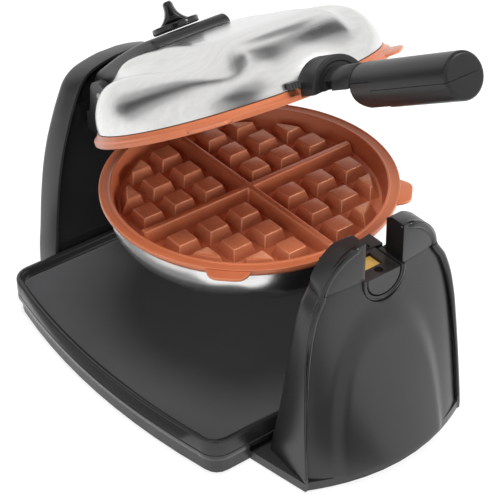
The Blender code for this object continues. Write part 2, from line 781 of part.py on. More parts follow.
def make_necks(iron, lid):
    """The two half necks, the lens and its screws."""
    lower = make_neck("lower_neck", NECK_FLAT)
    cut(lower, lens_space("lens_recess", SEAT_GAP))
    screw_bottom = NECK_FLAT - NECK_SCREW_HEAD
    places = ((NECK_SCREW_ASIDE, LENS_NEAR - NECK_SCREW_BEFORE), (0.0, LENS_FAR + NECK_SCREW_BEYOND))
    for number, (aside, out) in enumerate(places, start=1):
        sink = rod("sink", NECK_SCREW_RADIUS + SEAT_GAP, screw_bottom, NECK_FLAT + CUT_OVERRUN,
                   SMALL_SEGMENTS, "Z")
        cut(lower, move(sink, (aside, -out, 0.0)))
        head = rod("neck_screw_%d" % number, NECK_SCREW_RADIUS, screw_bottom + SEAT_GAP,
                   NECK_FLAT - SEAT_GAP, SMALL_SEGMENTS, "Z")
        move(head, AXIS + Vector((aside, -out, 0.0)))
        finish(head, "dark_steel", iron)
    finish(move(lower, AXIS), "black_plastic", iron)
    finish(move(lens_space("ready_lens", 0.0), AXIS), "amber_lens", iron, smooth=False)

    upper = make_neck("upper_neck", -NECK_FLAT - SEAT_GAP)
    upside_down(upper)
    tongue = box("tongue", (-TONGUE_HALF_WIDTH, -FOLD_BACK, -NECK_FLAT * 2),
                 (TONGUE_HALF_WIDTH, -NECK_END - RUN_GAP, TONGUE_RADIUS))
    root = box("root", (-TONGUE_HALF_WIDTH, -FOLD_BACK, NECK_FLAT * 2),
               (TONGUE_HALF_WIDTH, -NECK_END + RUN_GAP, TONGUE_RADIUS))
    barrel = rod("barrel", TONGUE_RADIUS, -TONGUE_HALF_WIDTH, TONGUE_HALF_WIDTH, NECK_SEGMENTS, "X")
    join(tongue, root, move(barrel, (0.0, -FOLD_BACK, 0.0)))
    join(upper, tongue)
    bore = rod("bore", HINGE_PIN_RADIUS + SEAT_GAP, -CUT_OVERRUN, CUT_OVERRUN, SMALL_SEGMENTS, "X")
    cut(upper, move(bore, (0.0, -FOLD_BACK, 0.0)))
    finish(move(upper, AXIS), "black_plastic", lid)


def make_handle(handle):
    """The folding grip: two half shells round the knuckle, on a pin."""
    start = FOLD_BACK - KNUCKLE_RADIUS + SEAT_GAP
    rings = []
    for out, shrink in ((start, 0.0), (HANDLE_END - HANDLE_END_ROUND, 0.0),
                        (HANDLE_END - HANDLE_END_ROUND / 4, HANDLE_END_ROUND / 2),
                        (HANDLE_END, HANDLE_END_ROUND)):
        angles = [2 * math.pi * (i + 0.5) / NECK_SEGMENTS for i in range(NECK_SEGMENTS)]
        radius = HANDLE_RADIUS - shrink
        rings.append([(radius * math.cos(a), -out, radius * math.sin(a)) for a in angles])
    whole = loft("grip_whole", rings)
    corner = box("corner", (-CUT_OVERRUN, -FOLD_BACK, -HANDLE_RADIUS - CUT_OVERRUN),
                 (CUT_OVERRUN, -start + CUT_OVERRUN, 0.0))
    keep = rod("keep", KNUCKLE_RADIUS, -2 * CUT_OVERRUN, 2 * CUT_OVERRUN, NECK_SEGMENTS, "X")
    cut(corner, move(keep, (0.0, -FOLD_BACK, 0.0)))
    cut(whole, corner)
    slot_half = TONGUE_HALF_WIDTH + RUN_GAP
    reach = FOLD_BACK + TONGUE_RADIUS + RUN_GAP
    slot = box("slot", (-slot_half, -reach, -HANDLE_RADIUS - CUT_OVERRUN),
               (slot_half, -start + CUT_OVERRUN, TONGUE_RADIUS + RUN_GAP))
    cut(whole, slot)
    pin_hole = rod("pin_hole", HINGE_PIN_RADIUS + SEAT_GAP, -CUT_OVERRUN, CUT_OVERRUN,
                   SMALL_SEGMENTS, "X")
    cut(whole, move(pin_hole, (0.0, -FOLD_BACK, 0.0)))
    pin = rod("fold_pin", HINGE_PIN_RADIUS, -HANDLE_RADIUS + RUN_GAP * 2, HANDLE_RADIUS - RUN_GAP * 2,
              SMALL_SEGMENTS, "X")
    finish(move(pin, AXIS + Vector((0.0, -FOLD_BACK, 0.0))), "dark_steel", handle)

    far = HANDLE_END + CUT_OVERRUN
    beyond = HANDLE_RADIUS + CUT_OVERRUN
    for name, low, high in (("grip_lower", -SEAT_GAP / 2, beyond),
                            ("grip_upper", -beyond, SEAT_GAP / 2)):
        half = whole.copy()
        half.data = whole.data.copy()
        half.name = name
        bpy.context.scene.collection.objects.link(half)
        away = box("away", (-HANDLE_RADIUS - CUT_OVERRUN, -far, low),
                   (HANDLE_RADIUS + CUT_OVERRUN, -start + CUT_OVERRUN, high))
        cut(half, away)
        finish(move(half, AXIS), "black_plastic", handle)
    bpy.data.objects.remove(whole, do_unlink=True)


def make_hinge_arm(lid):
    """The wide arm that carries the lid: over the shell, down round the hinge pin."""
    top_run = [(ARM_FRONT, ARM_TOP_FRONT - ARM_THICKNESS / 2),
               (ARM_FRONT + ARM_THICKNESS / 2, ARM_TOP_FRONT)]
    back_start = arm_back_start()
    for share in ARM_RUN_SHARES:
        y = ARM_FRONT + (back_start - ARM_FRONT) * share
        top_run.append((y, arm_top_at(y)))
    top_run.append((back_start, ARM_TOP_BACK - ARM_THICKNESS * ARM_EDGE_SHARE))
    for degrees in ARM_HEEL_DEGREES:
        angle = math.radians(degrees)
        top_run.append((HINGE_BACK + HINGE_BARREL * math.cos(angle),
                        HINGE_RISE + HINGE_BARREL * math.sin(angle)))
    inner = HINGE_BACK - HINGE_BARREL
    top_run.append((inner - ARM_THICKNESS, HINGE_RISE + HINGE_BARREL * ARM_THROAT_SHARE))
    top_run.append((inner - ARM_THICKNESS * ARM_SLOPE_SHARE,
                    JOINT_HEIGHT + SHELL_DEPTH * ARM_SHELL_SHARE))
    top_run.append((ARM_FRONT, JOINT_HEIGHT + SHELL_DEPTH))
    rings = []
    for x in (-ARM_HALF_WIDTH, ARM_HALF_WIDTH):
        rings.append([(x, y, z) for y, z in top_run])
    arm = loft("hinge_arm", rings)
    envelope = upside_down(shell_envelope("shell_space"))
    rim = upside_down(grid_envelope("grid_space"))
    cut(arm, envelope, rim)
    bore = rod("bore", HINGE_PIN_RADIUS + SEAT_GAP, -ARM_HALF_WIDTH - CUT_OVERRUN,
               ARM_HALF_WIDTH + CUT_OVERRUN, SMALL_SEGMENTS, "X")
    cut(arm, move(bore, (0.0, HINGE_BACK, HINGE_RISE)))
    return arm


def arm_back_start():
    """Where the arm's top meets its rounded heel."""
    return HINGE_BACK - HINGE_BARREL * ARM_BACK_SHARE


def arm_top_at(y):
    """Height of the arm's top over the flip axis."""
    share = (y - ARM_FRONT) / (arm_back_start() - ARM_FRONT)
    return ARM_TOP_FRONT + (ARM_TOP_BACK - ARM_TOP_FRONT) * share ** ARM_TOP_POWER


def dial_seat():
    """Height and tilt of the flat that the dial stands on."""
    near = DIAL_BACK - DIAL_RADIUS
    far = DIAL_BACK + DIAL_RADIUS
    slope = math.atan2(arm_top_at(far) - arm_top_at(near), far - near)
    return arm_top_at(DIAL_BACK), math.degrees(slope)


def make_dial(lid, dial):
    """The browning dial: round skirt, pinch bar with hollow flanks, and its stem."""
    height, tilt = dial_seat()
    body = rod("browning_dial", DIAL_RADIUS, RUN_GAP, DIAL_SKIRT, NECK_SEGMENTS, "Z")
    rows = []
    flare = DIAL_FLARE_HALF_WIDTH - DIAL_FIN_HALF_WIDTH
    for k in range(DIAL_STEPS + 1):
        share = k / DIAL_STEPS
        half = DIAL_FIN_HALF_WIDTH + flare * (1 - share) ** DIAL_FLARE_POWER
        z = DIAL_SKIRT - RUN_GAP + (DIAL_HEIGHT - DIAL_SKIRT) * share
        reach = math.sqrt(DIAL_RADIUS ** 2 - half ** 2) * (1 - DIAL_TAPER_SHARE * share)
        rows.append([(-half, -reach, z), (half, -reach, z), (half, reach, z), (-half, reach, z)])
    fin = loft("fin", rows)
    join(body, fin)
    stem = rod("stem", DIAL_STEM_RADIUS, -DIAL_STEM_DEPTH, RUN_GAP * 2, SMALL_SEGMENTS, "Z")
    join(body, stem)
    turn(body, -DIAL_TURN_DEGREES, "Z")
    turn(body, tilt, "X")
    move(body, AXIS + Vector((0.0, DIAL_BACK, height)))
    finish(body, "gloss_plastic", dial)

    arm = make_hinge_arm(lid)
    hole = rod("stem_hole", DIAL_STEM_RADIUS + RUN_GAP, -DIAL_STEM_DEPTH - RUN_GAP, CUT_OVERRUN,
               SMALL_SEGMENTS, "Z")
    flat = rod("dial_flat", DIAL_RADIUS + RUN_GAP, 0.0, CUT_OVERRUN, NECK_SEGMENTS, "Z")
    for tool in (hole, flat):
        turn(tool, tilt, "X")
        cut(arm, move(tool, (0.0, DIAL_BACK, height)))
    finish(move(arm, AXIS), "black_plastic", lid)


def make_yoke(iron):
    """The rear bracket: web on the lower shell, hinge cheeks and the boss on the flip axis."""
    inner = ARM_HALF_WIDTH + RUN_GAP
    outer = inner + CHEEK_THICKNESS
    web_low = YOKE_WEB_TOP - YOKE_WEB_THICKNESS
    yoke = box("rear_yoke", (-outer, YOKE_NEAR, web_low), (outer, YOKE_FAR, YOKE_WEB_TOP))
    boss = rod("boss", BOSS_RADIUS, BOSS_NEAR, BOSS_FAR, NECK_SEGMENTS)
    join(yoke, boss)
    for side in (-1, 1):
        angles = [math.radians(180.0 - 15.0 * i) for i in range(13)]
        outline = [(HINGE_BACK + CHEEK_RADIUS * math.cos(a), HINGE_RISE + CHEEK_RADIUS * math.sin(a))
                   for a in angles]
        outline += [(HINGE_BACK + CHEEK_RADIUS * CHEEK_HEEL_SHARE, YOKE_WEB_TOP - CHEEK_SINK),
                    (HINGE_BACK - CHEEK_RADIUS * CHEEK_TOE_SHARE, YOKE_WEB_TOP - CHEEK_SINK)]
        cheek = prism("cheek", outline, "X", min(side * inner, side * outer),
                      max(side * inner, side * outer))
        join(yoke, cheek)
    envelope = shell_envelope("shell_space")
    rim = grid_envelope("grid_space")
    cut(yoke, envelope, rim)
    clear_rim = rod("upper_rim_space", RIM_RADIUS + RUN_GAP, 0.0, JOINT_HEIGHT + CUT_OVERRUN * 2,
                    PLATE_SEGMENTS, "Z")
    cut(yoke, clear_rim)
    shaft_hole = rod("shaft_hole", SHAFT_RADIUS + SEAT_GAP, HINGE_BACK, BOSS_FAR + CUT_OVERRUN,
                     NECK_SEGMENTS)
    cut(yoke, shaft_hole)
    pin_hole = rod("pin_hole", HINGE_PIN_RADIUS + SEAT_GAP, -outer - CUT_OVERRUN, outer + CUT_OVERRUN,
                   SMALL_SEGMENTS, "X")
    cut(yoke, move(pin_hole, (0.0, HINGE_BACK, HINGE_RISE)))
    finish(move(yoke, AXIS), "black_plastic", iron)

    pin = rod("hinge_pin", HINGE_PIN_RADIUS, -outer, outer, SMALL_SEGMENTS, "X")
    finish(move(pin, HINGE), "plain_steel", iron)
    shaft = tube("flip_shaft", SHAFT_RADIUS, SHAFT_BORE, BOSS_NEAR - RUN_GAP, SHAFT_END, NECK_SEGMENTS)
    finish(move(shaft, AXIS), "plain_steel", iron)
    collar = tube("shaft_collar", COLLAR_RADIUS, SHAFT_RADIUS + SEAT_GAP, SHAFT_END - COLLAR_FROM_END - COLLAR_LENGTH,
                  SHAFT_END - COLLAR_FROM_END, NECK_SEGMENTS)
    finish(move(collar, AXIS), "plain_steel", iron)


def make_buttons(buttons):
    """A grid release button for each half."""
    for name, flip, frame in (("lower_release_button", False, buttons[0]),
                              ("upper_release_button", True, buttons[1])):
        button = make_button(name)
        turn(button, button_turn(), "Z")
        if flip:
            upside_down(button)
        move(button, AXIS)
        finish(button, "black_plastic", frame, smooth=False)


def front_heights():
    """Foot and seam height of the front tower."""
    return FOOT_RIM_HEIGHT + SEAT_GAP, AXIS_HEIGHT + FRONT_SEAM_RISE


def front_section(share):
    """Half width, rear, edge and centre of the front tower at a share of its height."""
    half = FRONT_FOOT_HALF_WIDTH * interpolate(FRONT_WIDTH_SHARES, share)
    ease = 1 - (1 - share) ** 2
    back = min(1.0, ease * FRONT_REAR_EASE_SHARE)
    rear = FRONT_REAR_FOOT + (FRONT_REAR_SEAM - FRONT_REAR_FOOT) * back
    edge = FRONT_EDGE_FOOT + (FRONT_EDGE_SEAM - FRONT_EDGE_FOOT) * share
    belly = (1 - share) ** FRONT_CENTRE_POWER
    centre = FRONT_CENTRE_SEAM + (FRONT_CENTRE_FOOT - FRONT_CENTRE_SEAM) * belly
    return half, rear, edge, centre


def rounded_corner(corner, before, after, radius, steps):
    """Points of a round corner between two sides."""
    corner = Vector(corner)
    to_before = (Vector(before) - corner).normalized()
    to_after = (Vector(after) - corner).normalized()
    half_angle = to_before.angle(to_after) / 2
    reach = radius / math.tan(half_angle)
    start = corner + to_before * reach
    end = corner + to_after * reach
    points = []
    for k in range(steps + 1):
        t = k / steps
        a = start.lerp(corner, t)
        b = corner.lerp(end, t)
        points.append(tuple(a.lerp(b, t)))
    return points


def frame_section(share):
    """Outline of the frame shell: rear wall with both sides, open to the front."""
    half, rear, edge, centre = front_section(share)
    back_half = half - FRONT_REAR_TAPER
    wall = PLASTIC_WALL
    left = rounded_corner((-back_half, -rear), (-half, -edge), (0.0, -rear), FRONT_CORNER_ROUND,
                          CORNER_STEPS)
    outer = [(-half, -edge)] + left + [(-x, y) for x, y in reversed(left)] + [(half, -edge)]
    inner_round = FRONT_CORNER_ROUND - wall
    inner_left = rounded_corner((-back_half + wall, -rear - wall), (-half + wall, -edge),
                                (0.0, -rear - wall), inner_round, CORNER_STEPS)
    inner = [(-half + wall, -edge)] + inner_left + [(-x, y) for x, y in reversed(inner_left)]
    inner += [(half - wall, -edge)]
    return outer + inner[::-1]


def face_section(share):
    """Outline of the face shell, a curved front between the sides of the frame."""
    half, rear, edge, centre = front_section(share)
    face_half = half - PLASTIC_WALL - FACE_GROOVE
    front = []
    for k in range(FACE_STEPS + 1):
        u = math.sin((k / FACE_STEPS - 0.5) * math.pi)
        bulge = (centre - edge) * u * u + FACE_EDGE_DROP * abs(u) ** FACE_EDGE_POWER
        front.append((face_half * u, -centre + bulge))
    back = [(x * (1 - PLASTIC_WALL / face_half), y + PLASTIC_WALL) for x, y in front]
    lip = edge - FACE_EDGE_DROP - FRONT_CORNER_ROUND
    taper = FRONT_REAR_TAPER * (edge - lip) / (edge - rear - PLASTIC_WALL)
    lip_half = face_half - taper
    front = [(-lip_half, -lip)] + front + [(lip_half, -lip)]
    back = [(PLASTIC_WALL - lip_half, -lip)] + back + [(lip_half - PLASTIC_WALL, -lip)]
    return front + back[::-1]


def seam_plan():
    """Plan of the front tower at the seam, bowed at the front and rounded at the rear."""
    half, rear, edge, centre = front_section(1.0)
    back_half = half - FRONT_REAR_TAPER
    left = rounded_corner((-back_half, -rear), (-half, -edge), (0.0, -rear),
                          FRONT_CORNER_ROUND, CORNER_STEPS)
    front = []
    for k in range(FACE_STEPS + 1):
        u = math.sin((k / FACE_STEPS - 0.5) * math.pi)
        front.append((half * u, -centre + (centre - edge) * u * u))
    return left + [(-x, y) for x, y in reversed(left)] + front[::-1]


def make_front_tower():
    """Frame, face, saddle and the two caps above the seam."""
    low, high = front_heights()
    shares = [pair[0] for pair in FRONT_WIDTH_SHARES]
    saddle_outer = NECK_RADIUS + RUN_GAP + SADDLE_WALL
    for name, section in (("front_tower_frame", frame_section), ("front_tower_face", face_section)):
        rings = []
        for share in shares:
            z = low + (high - low) * share
            rings.append([(x, y, z) for x, y in section(share)])
        shell = loft(name, rings)
        notch = rod("notch", saddle_outer + SEAT_GAP, -FRONT_CENTRE_FOOT, -FLANGE_NEAR, NECK_SEGMENTS)
        cut(shell, move(notch, AXIS))
        finish(shell, "black_plastic", None)

    saddle = tube("neck_saddle", saddle_outer, NECK_RADIUS + RUN_GAP, -FRONT_CENTRE_SEAM - SADDLE_PROUD,
                  -FRONT_REAR_SEAM, NECK_SEGMENTS)
    above = box("above", (-CUT_OVERRUN, -FRONT_CENTRE_FOOT, FRONT_SEAM_RISE - SEAT_GAP),
                (CUT_OVERRUN, 0.0, CUT_OVERRUN))
    cut(saddle, above)
    finish(move(saddle, AXIS), "black_plastic", None)

    width = FRONT_FOOT_HALF_WIDTH * FRONT_WIDTH_SHARES[-1][1] - SLOT_HALF_WIDTH
    seam = FRONT_SEAM_RISE + SEAT_GAP
    for name, side in (("cap_left", -1), ("cap_right", 1)):
        outline = [(side * SLOT_HALF_WIDTH, seam)]
        for across, up in CAP_OUTLINE_SHARES:
            outline.append((side * (SLOT_HALF_WIDTH + width * across), seam + CAP_HEIGHT * up))
        cap = prism(name, outline, "Y", -CAP_FRONT, -CAP_REAR)
        plan = prism("plan", seam_plan(), "Z", seam - CUT_OVERRUN, seam + CAP_HEIGHT + CUT_OVERRUN)
        combine(cap, plan, "INTERSECT")
        hollow = offset_outline(outline, CAP_WALL + FRONT_REAR_TAPER)
        hollow[0] = (hollow[0][0], seam - CUT_OVERRUN)
        hollow[1] = (hollow[1][0], seam - CUT_OVERRUN)
        cut(cap, prism("hollow", hollow, "Y", -CAP_FRONT + CAP_WALL + FRONT_EDGE_BACK,
                       -CAP_REAR - CAP_WALL))
        finish(move(cap, AXIS), "black_plastic", None)


def rear_outline(inset, foot, lowered=False, drop=0.0):
    """The arch of the rear tower, (x, z), moved in; lowered runs its sides on below the foot."""
    top = AXIS_HEIGHT + REAR_TOP_RISE - drop
    shares = list(REAR_OUTLINE_SHARES)
    (x0, z0), (x1, z1) = shares[0], shares[1]
    shares[0] = (2 * x0 - x1, 2 * z0 - z1)
    right = [(REAR_HALF_WIDTH * x, foot + (top - foot) * z) for x, z in shares]
    whole = offset_outline(right + [(-x, z) for x, z in reversed(right)], inset)
    if lowered:
        return whole
    (xa, za), (xb, zb) = whole[0], whole[1]
    x_foot = xa + (xb - xa) * (foot - za) / (zb - za)
    return [(x_foot, foot)] + whole[1:-1] + [(-x_foot, foot)]


def make_rear_tower():
    """Outer shell, inner panel, bush, cord inlet and cord cleats."""
    foot = FOOT_RIM_HEIGHT + SEAT_GAP
    outline = rear_outline(0.0, foot)
    back = rear_outline(0.0, foot, drop=REAR_TOP_DROP)
    small = rear_outline(REAR_BACK_ROUND, foot, drop=REAR_TOP_DROP)
    part_round = REAR_BACK_ROUND * REAR_ROUND_SHARE
    middle = rear_outline(part_round, foot, drop=REAR_TOP_DROP)
    rings = [[(x, REAR_BAND_FRONT, z) for x, z in outline],
             [(x, REAR_BACK - REAR_BACK_ROUND, z) for x, z in back],
             [(x, REAR_BACK - part_round, z) for x, z in middle],
             [(x, REAR_BACK, z) for x, z in small]]
    shell = loft("rear_tower_shell", rings)
    inside = rear_outline(PLASTIC_WALL, foot, lowered=True)
    inside_back = rear_outline(PLASTIC_WALL, foot, lowered=True, drop=REAR_TOP_DROP)
    inside_small = rear_outline(PLASTIC_WALL + REAR_BACK_ROUND, foot, lowered=True, drop=REAR_TOP_DROP)
    inside_end = REAR_BACK - REAR_BACK_ROUND - REAR_BACK_WALL
    hollow = loft("hollow", [[(x, REAR_BAND_FRONT - CUT_OVERRUN, z) for x, z in inside],
                             [(x, REAR_BAND_FRONT, z) for x, z in inside],
                             [(x, inside_end, z) for x, z in inside_back],
                             [(x, REAR_BACK - REAR_BACK_WALL, z) for x, z in inside_small]])
    cut(shell, hollow)
    inlet_hole = rod("inlet_hole", INLET_RADIUS + SEAT_GAP, REAR_BACK - CUT_OVERRUN / 2,
                     REAR_BACK + CUT_OVERRUN, SMALL_SEGMENTS)
    cut(shell, move(inlet_hole, (0.0, 0.0, INLET_HEIGHT)))
    finish(shell, "black_plastic", None)

    panel_rings = []
    for y in (REAR_PANEL_FRONT, REAR_PANEL_FRONT + REAR_PANEL_THICKNESS):
        drop = REAR_TOP_DROP * (y - REAR_BAND_FRONT) / (inside_end - REAR_BAND_FRONT)
        ring = rear_outline(PLASTIC_WALL + SEAT_GAP, foot, drop=drop)
        panel_rings.append([(x, y, z) for x, z in ring])
    panel = loft("rear_tower_panel", panel_rings)
    bush_outer = SHAFT_RADIUS + RUN_GAP + BUSH_WALL
    hole = rod("hole", bush_outer + SEAT_GAP, REAR_PANEL_FRONT - CUT_OVERRUN,
               REAR_PANEL_FRONT + CUT_OVERRUN, NECK_SEGMENTS)
    cut(panel, move(hole, AXIS))
    finish(panel, "gloss_plastic", None)

    bush = tube("shaft_bush", bush_outer, SHAFT_RADIUS + RUN_GAP, REAR_PANEL_FRONT,
                REAR_PANEL_FRONT + BUSH_LENGTH, NECK_SEGMENTS)
    finish(move(bush, AXIS), "black_plastic", None)

    inlet = tube("cord_inlet", INLET_RADIUS, INLET_BORE, REAR_BACK - REAR_BACK_WALL,
                 REAR_BACK + INLET_LENGTH, SMALL_SEGMENTS)
    finish(move(inlet, (0.0, 0.0, INLET_HEIGHT)), "rubber", None)
    for name, rise, up in (("cord_cleat_upper", CLEAT_TOP_RISE, 1),
                           ("cord_cleat_lower", CLEAT_LOW_RISE, -1)):
        start = REAR_BACK + SEAT_GAP
        end = start + CLEAT_REACH
        half = CLEAT_HEIGHT / 2
        outline = [(start, -half), (end, -half), (end, half), (end - CLEAT_LIP, half),
                   (end - CLEAT_LIP, half - CLEAT_LIP), (start, half - CLEAT_LIP)]
        if up < 0:
            outline = [(y, -z) for y, z in reversed(outline)]
        cleat = prism(name, outline, "X", -CLEAT_HALF_WIDTH, CLEAT_HALF_WIDTH)
        move(cleat, AXIS + Vector((-CLEAT_ASIDE, 0.0, rise)))
        finish(cleat, "black_plastic", None, smooth=False)


def tray_outline(inset):
    """The bowed outline of the tray, (x, y), moved in by a distance."""
    middle = (TRAY_REAR - TRAY_FRONT) / 2
    half_length = (TRAY_REAR + TRAY_FRONT) / 2

    def half_width(y):
        return TRAY_HALF_WIDTH - TRAY_BOW * ((y - middle - TRAY_BOW_AFT) / half_length) ** 2

    right = []
    front_corner = (half_width(-TRAY_FRONT), -TRAY_FRONT)
    rear_corner = (half_width(TRAY_REAR), TRAY_REAR)
    right += rounded_corner(front_corner, (0.0, -TRAY_FRONT),
                            (half_width(-TRAY_FRONT + TRAY_CORNER), -TRAY_FRONT + TRAY_CORNER),
                            TRAY_CORNER, CORNER_STEPS)
    for k in range(1, TRAY_STEPS):
        y = -TRAY_FRONT + TRAY_CORNER + (2 * half_length - 2 * TRAY_CORNER) * k / TRAY_STEPS
        right.append((half_width(y), y))
    right += rounded_corner(rear_corner, (half_width(TRAY_REAR - TRAY_CORNER), TRAY_REAR - TRAY_CORNER),
                            (0.0, TRAY_REAR), TRAY_CORNER, CORNER_STEPS)
    whole = right + [(-x, y) for x, y in reversed(right)]
    return offset_outline(whole, inset)


def make_tray(tray):
    """The drip tray: shallow dish with a skirt that sits over the base."""
    body = prism("drip_tray", tray_outline(0.0), "Z", TRAY_SKIRT_HEIGHT, TRAY_RIM_HEIGHT)
    floor = TRAY_RIM_HEIGHT - TRAY_FLOOR_DROP
    dish = prism("dish", tray_outline(TRAY_RIM_WIDTH), "Z", floor, TRAY_RIM_HEIGHT + CUT_OVERRUN)
    under = prism("under", tray_outline(TRAY_WALL), "Z", TRAY_SKIRT_HEIGHT - CUT_OVERRUN,
                  floor - TRAY_WALL)
    cut(body, dish, under)
    return finish(body, "tray_plastic", tray)


def make_base():
    """The base pan under the tray and both towers, and its rubber feet."""
    low = FOOT_PROUD
    pan = prism("base_pan", tray_outline(PAN_INSET), "Z", low, PAN_TOP)
    front = front_foot_outline()
    join(pan, prism("front_foot", front, "Z", low, FOOT_RIM_HEIGHT))
    half = REAR_HALF_WIDTH
    rear = [(half, TRAY_REAR - FOOT_FLARE), (half, REAR_BACK - REAR_BACK_ROUND),
            (half - REAR_BACK_ROUND, REAR_BACK), (-half + REAR_BACK_ROUND, REAR_BACK),
            (-half, REAR_BACK - REAR_BACK_ROUND), (-half, TRAY_REAR - FOOT_FLARE)]
    join(pan, prism("rear_foot", rear, "Z", low, FOOT_RIM_HEIGHT))
    inside = prism("inside", tray_outline(PAN_INSET + PAN_WALL), "Z", low + PAN_FLOOR, PAN_TOP + CUT_OVERRUN)
    keep_front = prism("keep_front", front, "Z", 0.0, FOOT_RIM_HEIGHT)
    keep_rear = prism("keep_rear", rear, "Z", 0.0, FOOT_RIM_HEIGHT)
    cut(inside, keep_front, keep_rear)
    cut(pan, inside)
    tower_space = prism("tower_space", front, "Z", FOOT_RIM_HEIGHT, PAN_TOP + CUT_OVERRUN)
    rear_space = prism("rear_space", [(half + SEAT_GAP, REAR_BAND_FRONT - SEAT_GAP),
                                      (half + SEAT_GAP, REAR_BACK + CUT_OVERRUN),
                                      (-half - SEAT_GAP, REAR_BACK + CUT_OVERRUN),
                                      (-half - SEAT_GAP, REAR_BAND_FRONT - SEAT_GAP)],
                       "Z", FOOT_RIM_HEIGHT, PAN_TOP + CUT_OVERRUN)
    cut(pan, tower_space, rear_space)
    finish(pan, "black_plastic", None)

    places = [(-FOOT_ASIDE_FRONT, -FOOT_FRONT), (FOOT_ASIDE_FRONT, -FOOT_FRONT),
              (-FOOT_ASIDE_REAR, FOOT_REAR), (FOOT_ASIDE_REAR, FOOT_REAR)]
    for number, (x, y) in enumerate(places, start=1):
        pad = rod("foot_%d" % number, FOOT_RADIUS, 0.0, FOOT_PROUD - SEAT_GAP, SMALL_SEGMENTS, "Z")
        finish(move(pad, (x, y, 0.0)), "rubber", None)


def front_foot_outline():
    """Footprint of the front tower, flush with its shells."""
    half, rear, edge, centre = front_section(0.0)
    flare = FOOT_FLARE
    outline = [(half + flare, -rear + flare), (half, -edge)]
    for k in range(FACE_STEPS + 1):
        u = -math.sin((k / FACE_STEPS - 0.5) * math.pi)
        bulge = (centre - edge) * u * u
        outline.append(((half - PLASTIC_WALL) * u, -centre + bulge))
    outline += [(-half, -edge), (-half - flare, -rear + flare)]
    return outline[::-1]


def build():
    clear_scene()
    iron = axis_frame("flip_axis", AXIS)
    lid = axis_frame("lid_axis", HINGE, iron, -LID_OPEN_DEGREES)
    height, tilt = dial_seat()
    dial = axis_frame("dial_axis", AXIS + Vector((0.0, DIAL_BACK, height)), lid)
    handle = axis_frame("fold_axis", FOLD, lid)
    tray = axis_frame("tray_slide", Vector((0.0, 0.0, TRAY_SKIRT_HEIGHT)))
    low_button = axis_frame("lower_button_slide", AXIS, iron)
    high_button = axis_frame("upper_button_slide", AXIS, lid)

    make_base()
    make_tray(tray)
    make_front_tower()
    make_rear_tower()
    make_halves(iron, lid)
    make_necks(iron, lid)
    make_buttons((low_button, high_button))
    make_yoke(iron)
    make_dial(lid, dial)
    make_handle(handle)


build()
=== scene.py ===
# %% [markdown]
# # A rotating Belgian waffle maker
# Two round waffle grids in polished steel shells flip as one between two black towers.
# The solids of the part are loaded first and never moved. Every piece made below rides on
# one of their bodies, so the finished model still opens, flips, folds and slides.

# %% Load the solids
import math

import bmesh
import bpy
from mathutils import Matrix, Vector


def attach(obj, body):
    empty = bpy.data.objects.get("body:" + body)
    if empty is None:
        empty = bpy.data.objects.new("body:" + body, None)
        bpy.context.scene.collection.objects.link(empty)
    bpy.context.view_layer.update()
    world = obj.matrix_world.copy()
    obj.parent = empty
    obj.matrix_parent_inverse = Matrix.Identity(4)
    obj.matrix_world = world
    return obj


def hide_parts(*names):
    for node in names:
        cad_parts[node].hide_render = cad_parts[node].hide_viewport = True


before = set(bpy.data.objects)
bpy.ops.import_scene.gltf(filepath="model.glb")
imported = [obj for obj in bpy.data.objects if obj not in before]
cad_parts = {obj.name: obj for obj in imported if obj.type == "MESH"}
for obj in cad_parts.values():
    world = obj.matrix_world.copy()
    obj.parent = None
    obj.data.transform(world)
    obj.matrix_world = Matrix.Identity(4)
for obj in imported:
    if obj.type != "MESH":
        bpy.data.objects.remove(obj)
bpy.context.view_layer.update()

# %% [markdown]
# ## Where things are
# The flip axis is the line that every turned piece follows, so most sizes are counted from
# it. The lid is drawn closed, where it is a mirror image of the lower half, and then laid
# open by one turn about its hinge. That keeps the numbers readable.

# %% The flip axis and the open lid
AXIS = Vector((0.0, 0.0, 0.146))
HINGE = AXIS + Vector((0.0, 0.128, 0.021))
OPEN_DEGREES = 28.45
GAP = 0.0003

open_lid = (Matrix.Translation(HINGE) @ Matrix.Rotation(math.radians(-OPEN_DEGREES), 4, "X")
            @ Matrix.Translation(-HINGE))
print("hinge at", tuple(round(v, 3) for v in HINGE))

# %% [markdown]
# ## Camera
# The photograph was taken with a long lens from above the corner of the tray. The camera's
# own axes are built from its azimuth, its elevation and a slight roll. The small shift is
# the photograph's crop.

# %% Camera at the photograph's angle
AZIMUTH, ELEVATION, ROLL = map(math.radians, (-36.6, 35.5, -1.1))
FOCAL_PIXELS, FRAME_PIXELS, SENSOR = 1760.0, 500.0, 36.0
CROP_CENTRE = (242.3, 235.0)
AXIS_SEEN_AT = (249.3, 179.7)
DISTANCE = 1.2264

back = Vector((math.sin(AZIMUTH) * math.cos(ELEVATION), -math.cos(AZIMUTH) * math.cos(ELEVATION),
               math.sin(ELEVATION)))
level = Vector((math.cos(AZIMUTH), math.sin(AZIMUTH), 0.0))
upright = back.cross(level)
right = math.cos(ROLL) * level + math.sin(ROLL) * upright
up = -math.sin(ROLL) * level + math.cos(ROLL) * upright
aside = (AXIS_SEEN_AT[0] - CROP_CENTRE[0]) * DISTANCE / FOCAL_PIXELS
above = (CROP_CENTRE[1] - AXIS_SEEN_AT[1]) * DISTANCE / FOCAL_PIXELS
eye = AXIS - right * aside - up * above + back * DISTANCE

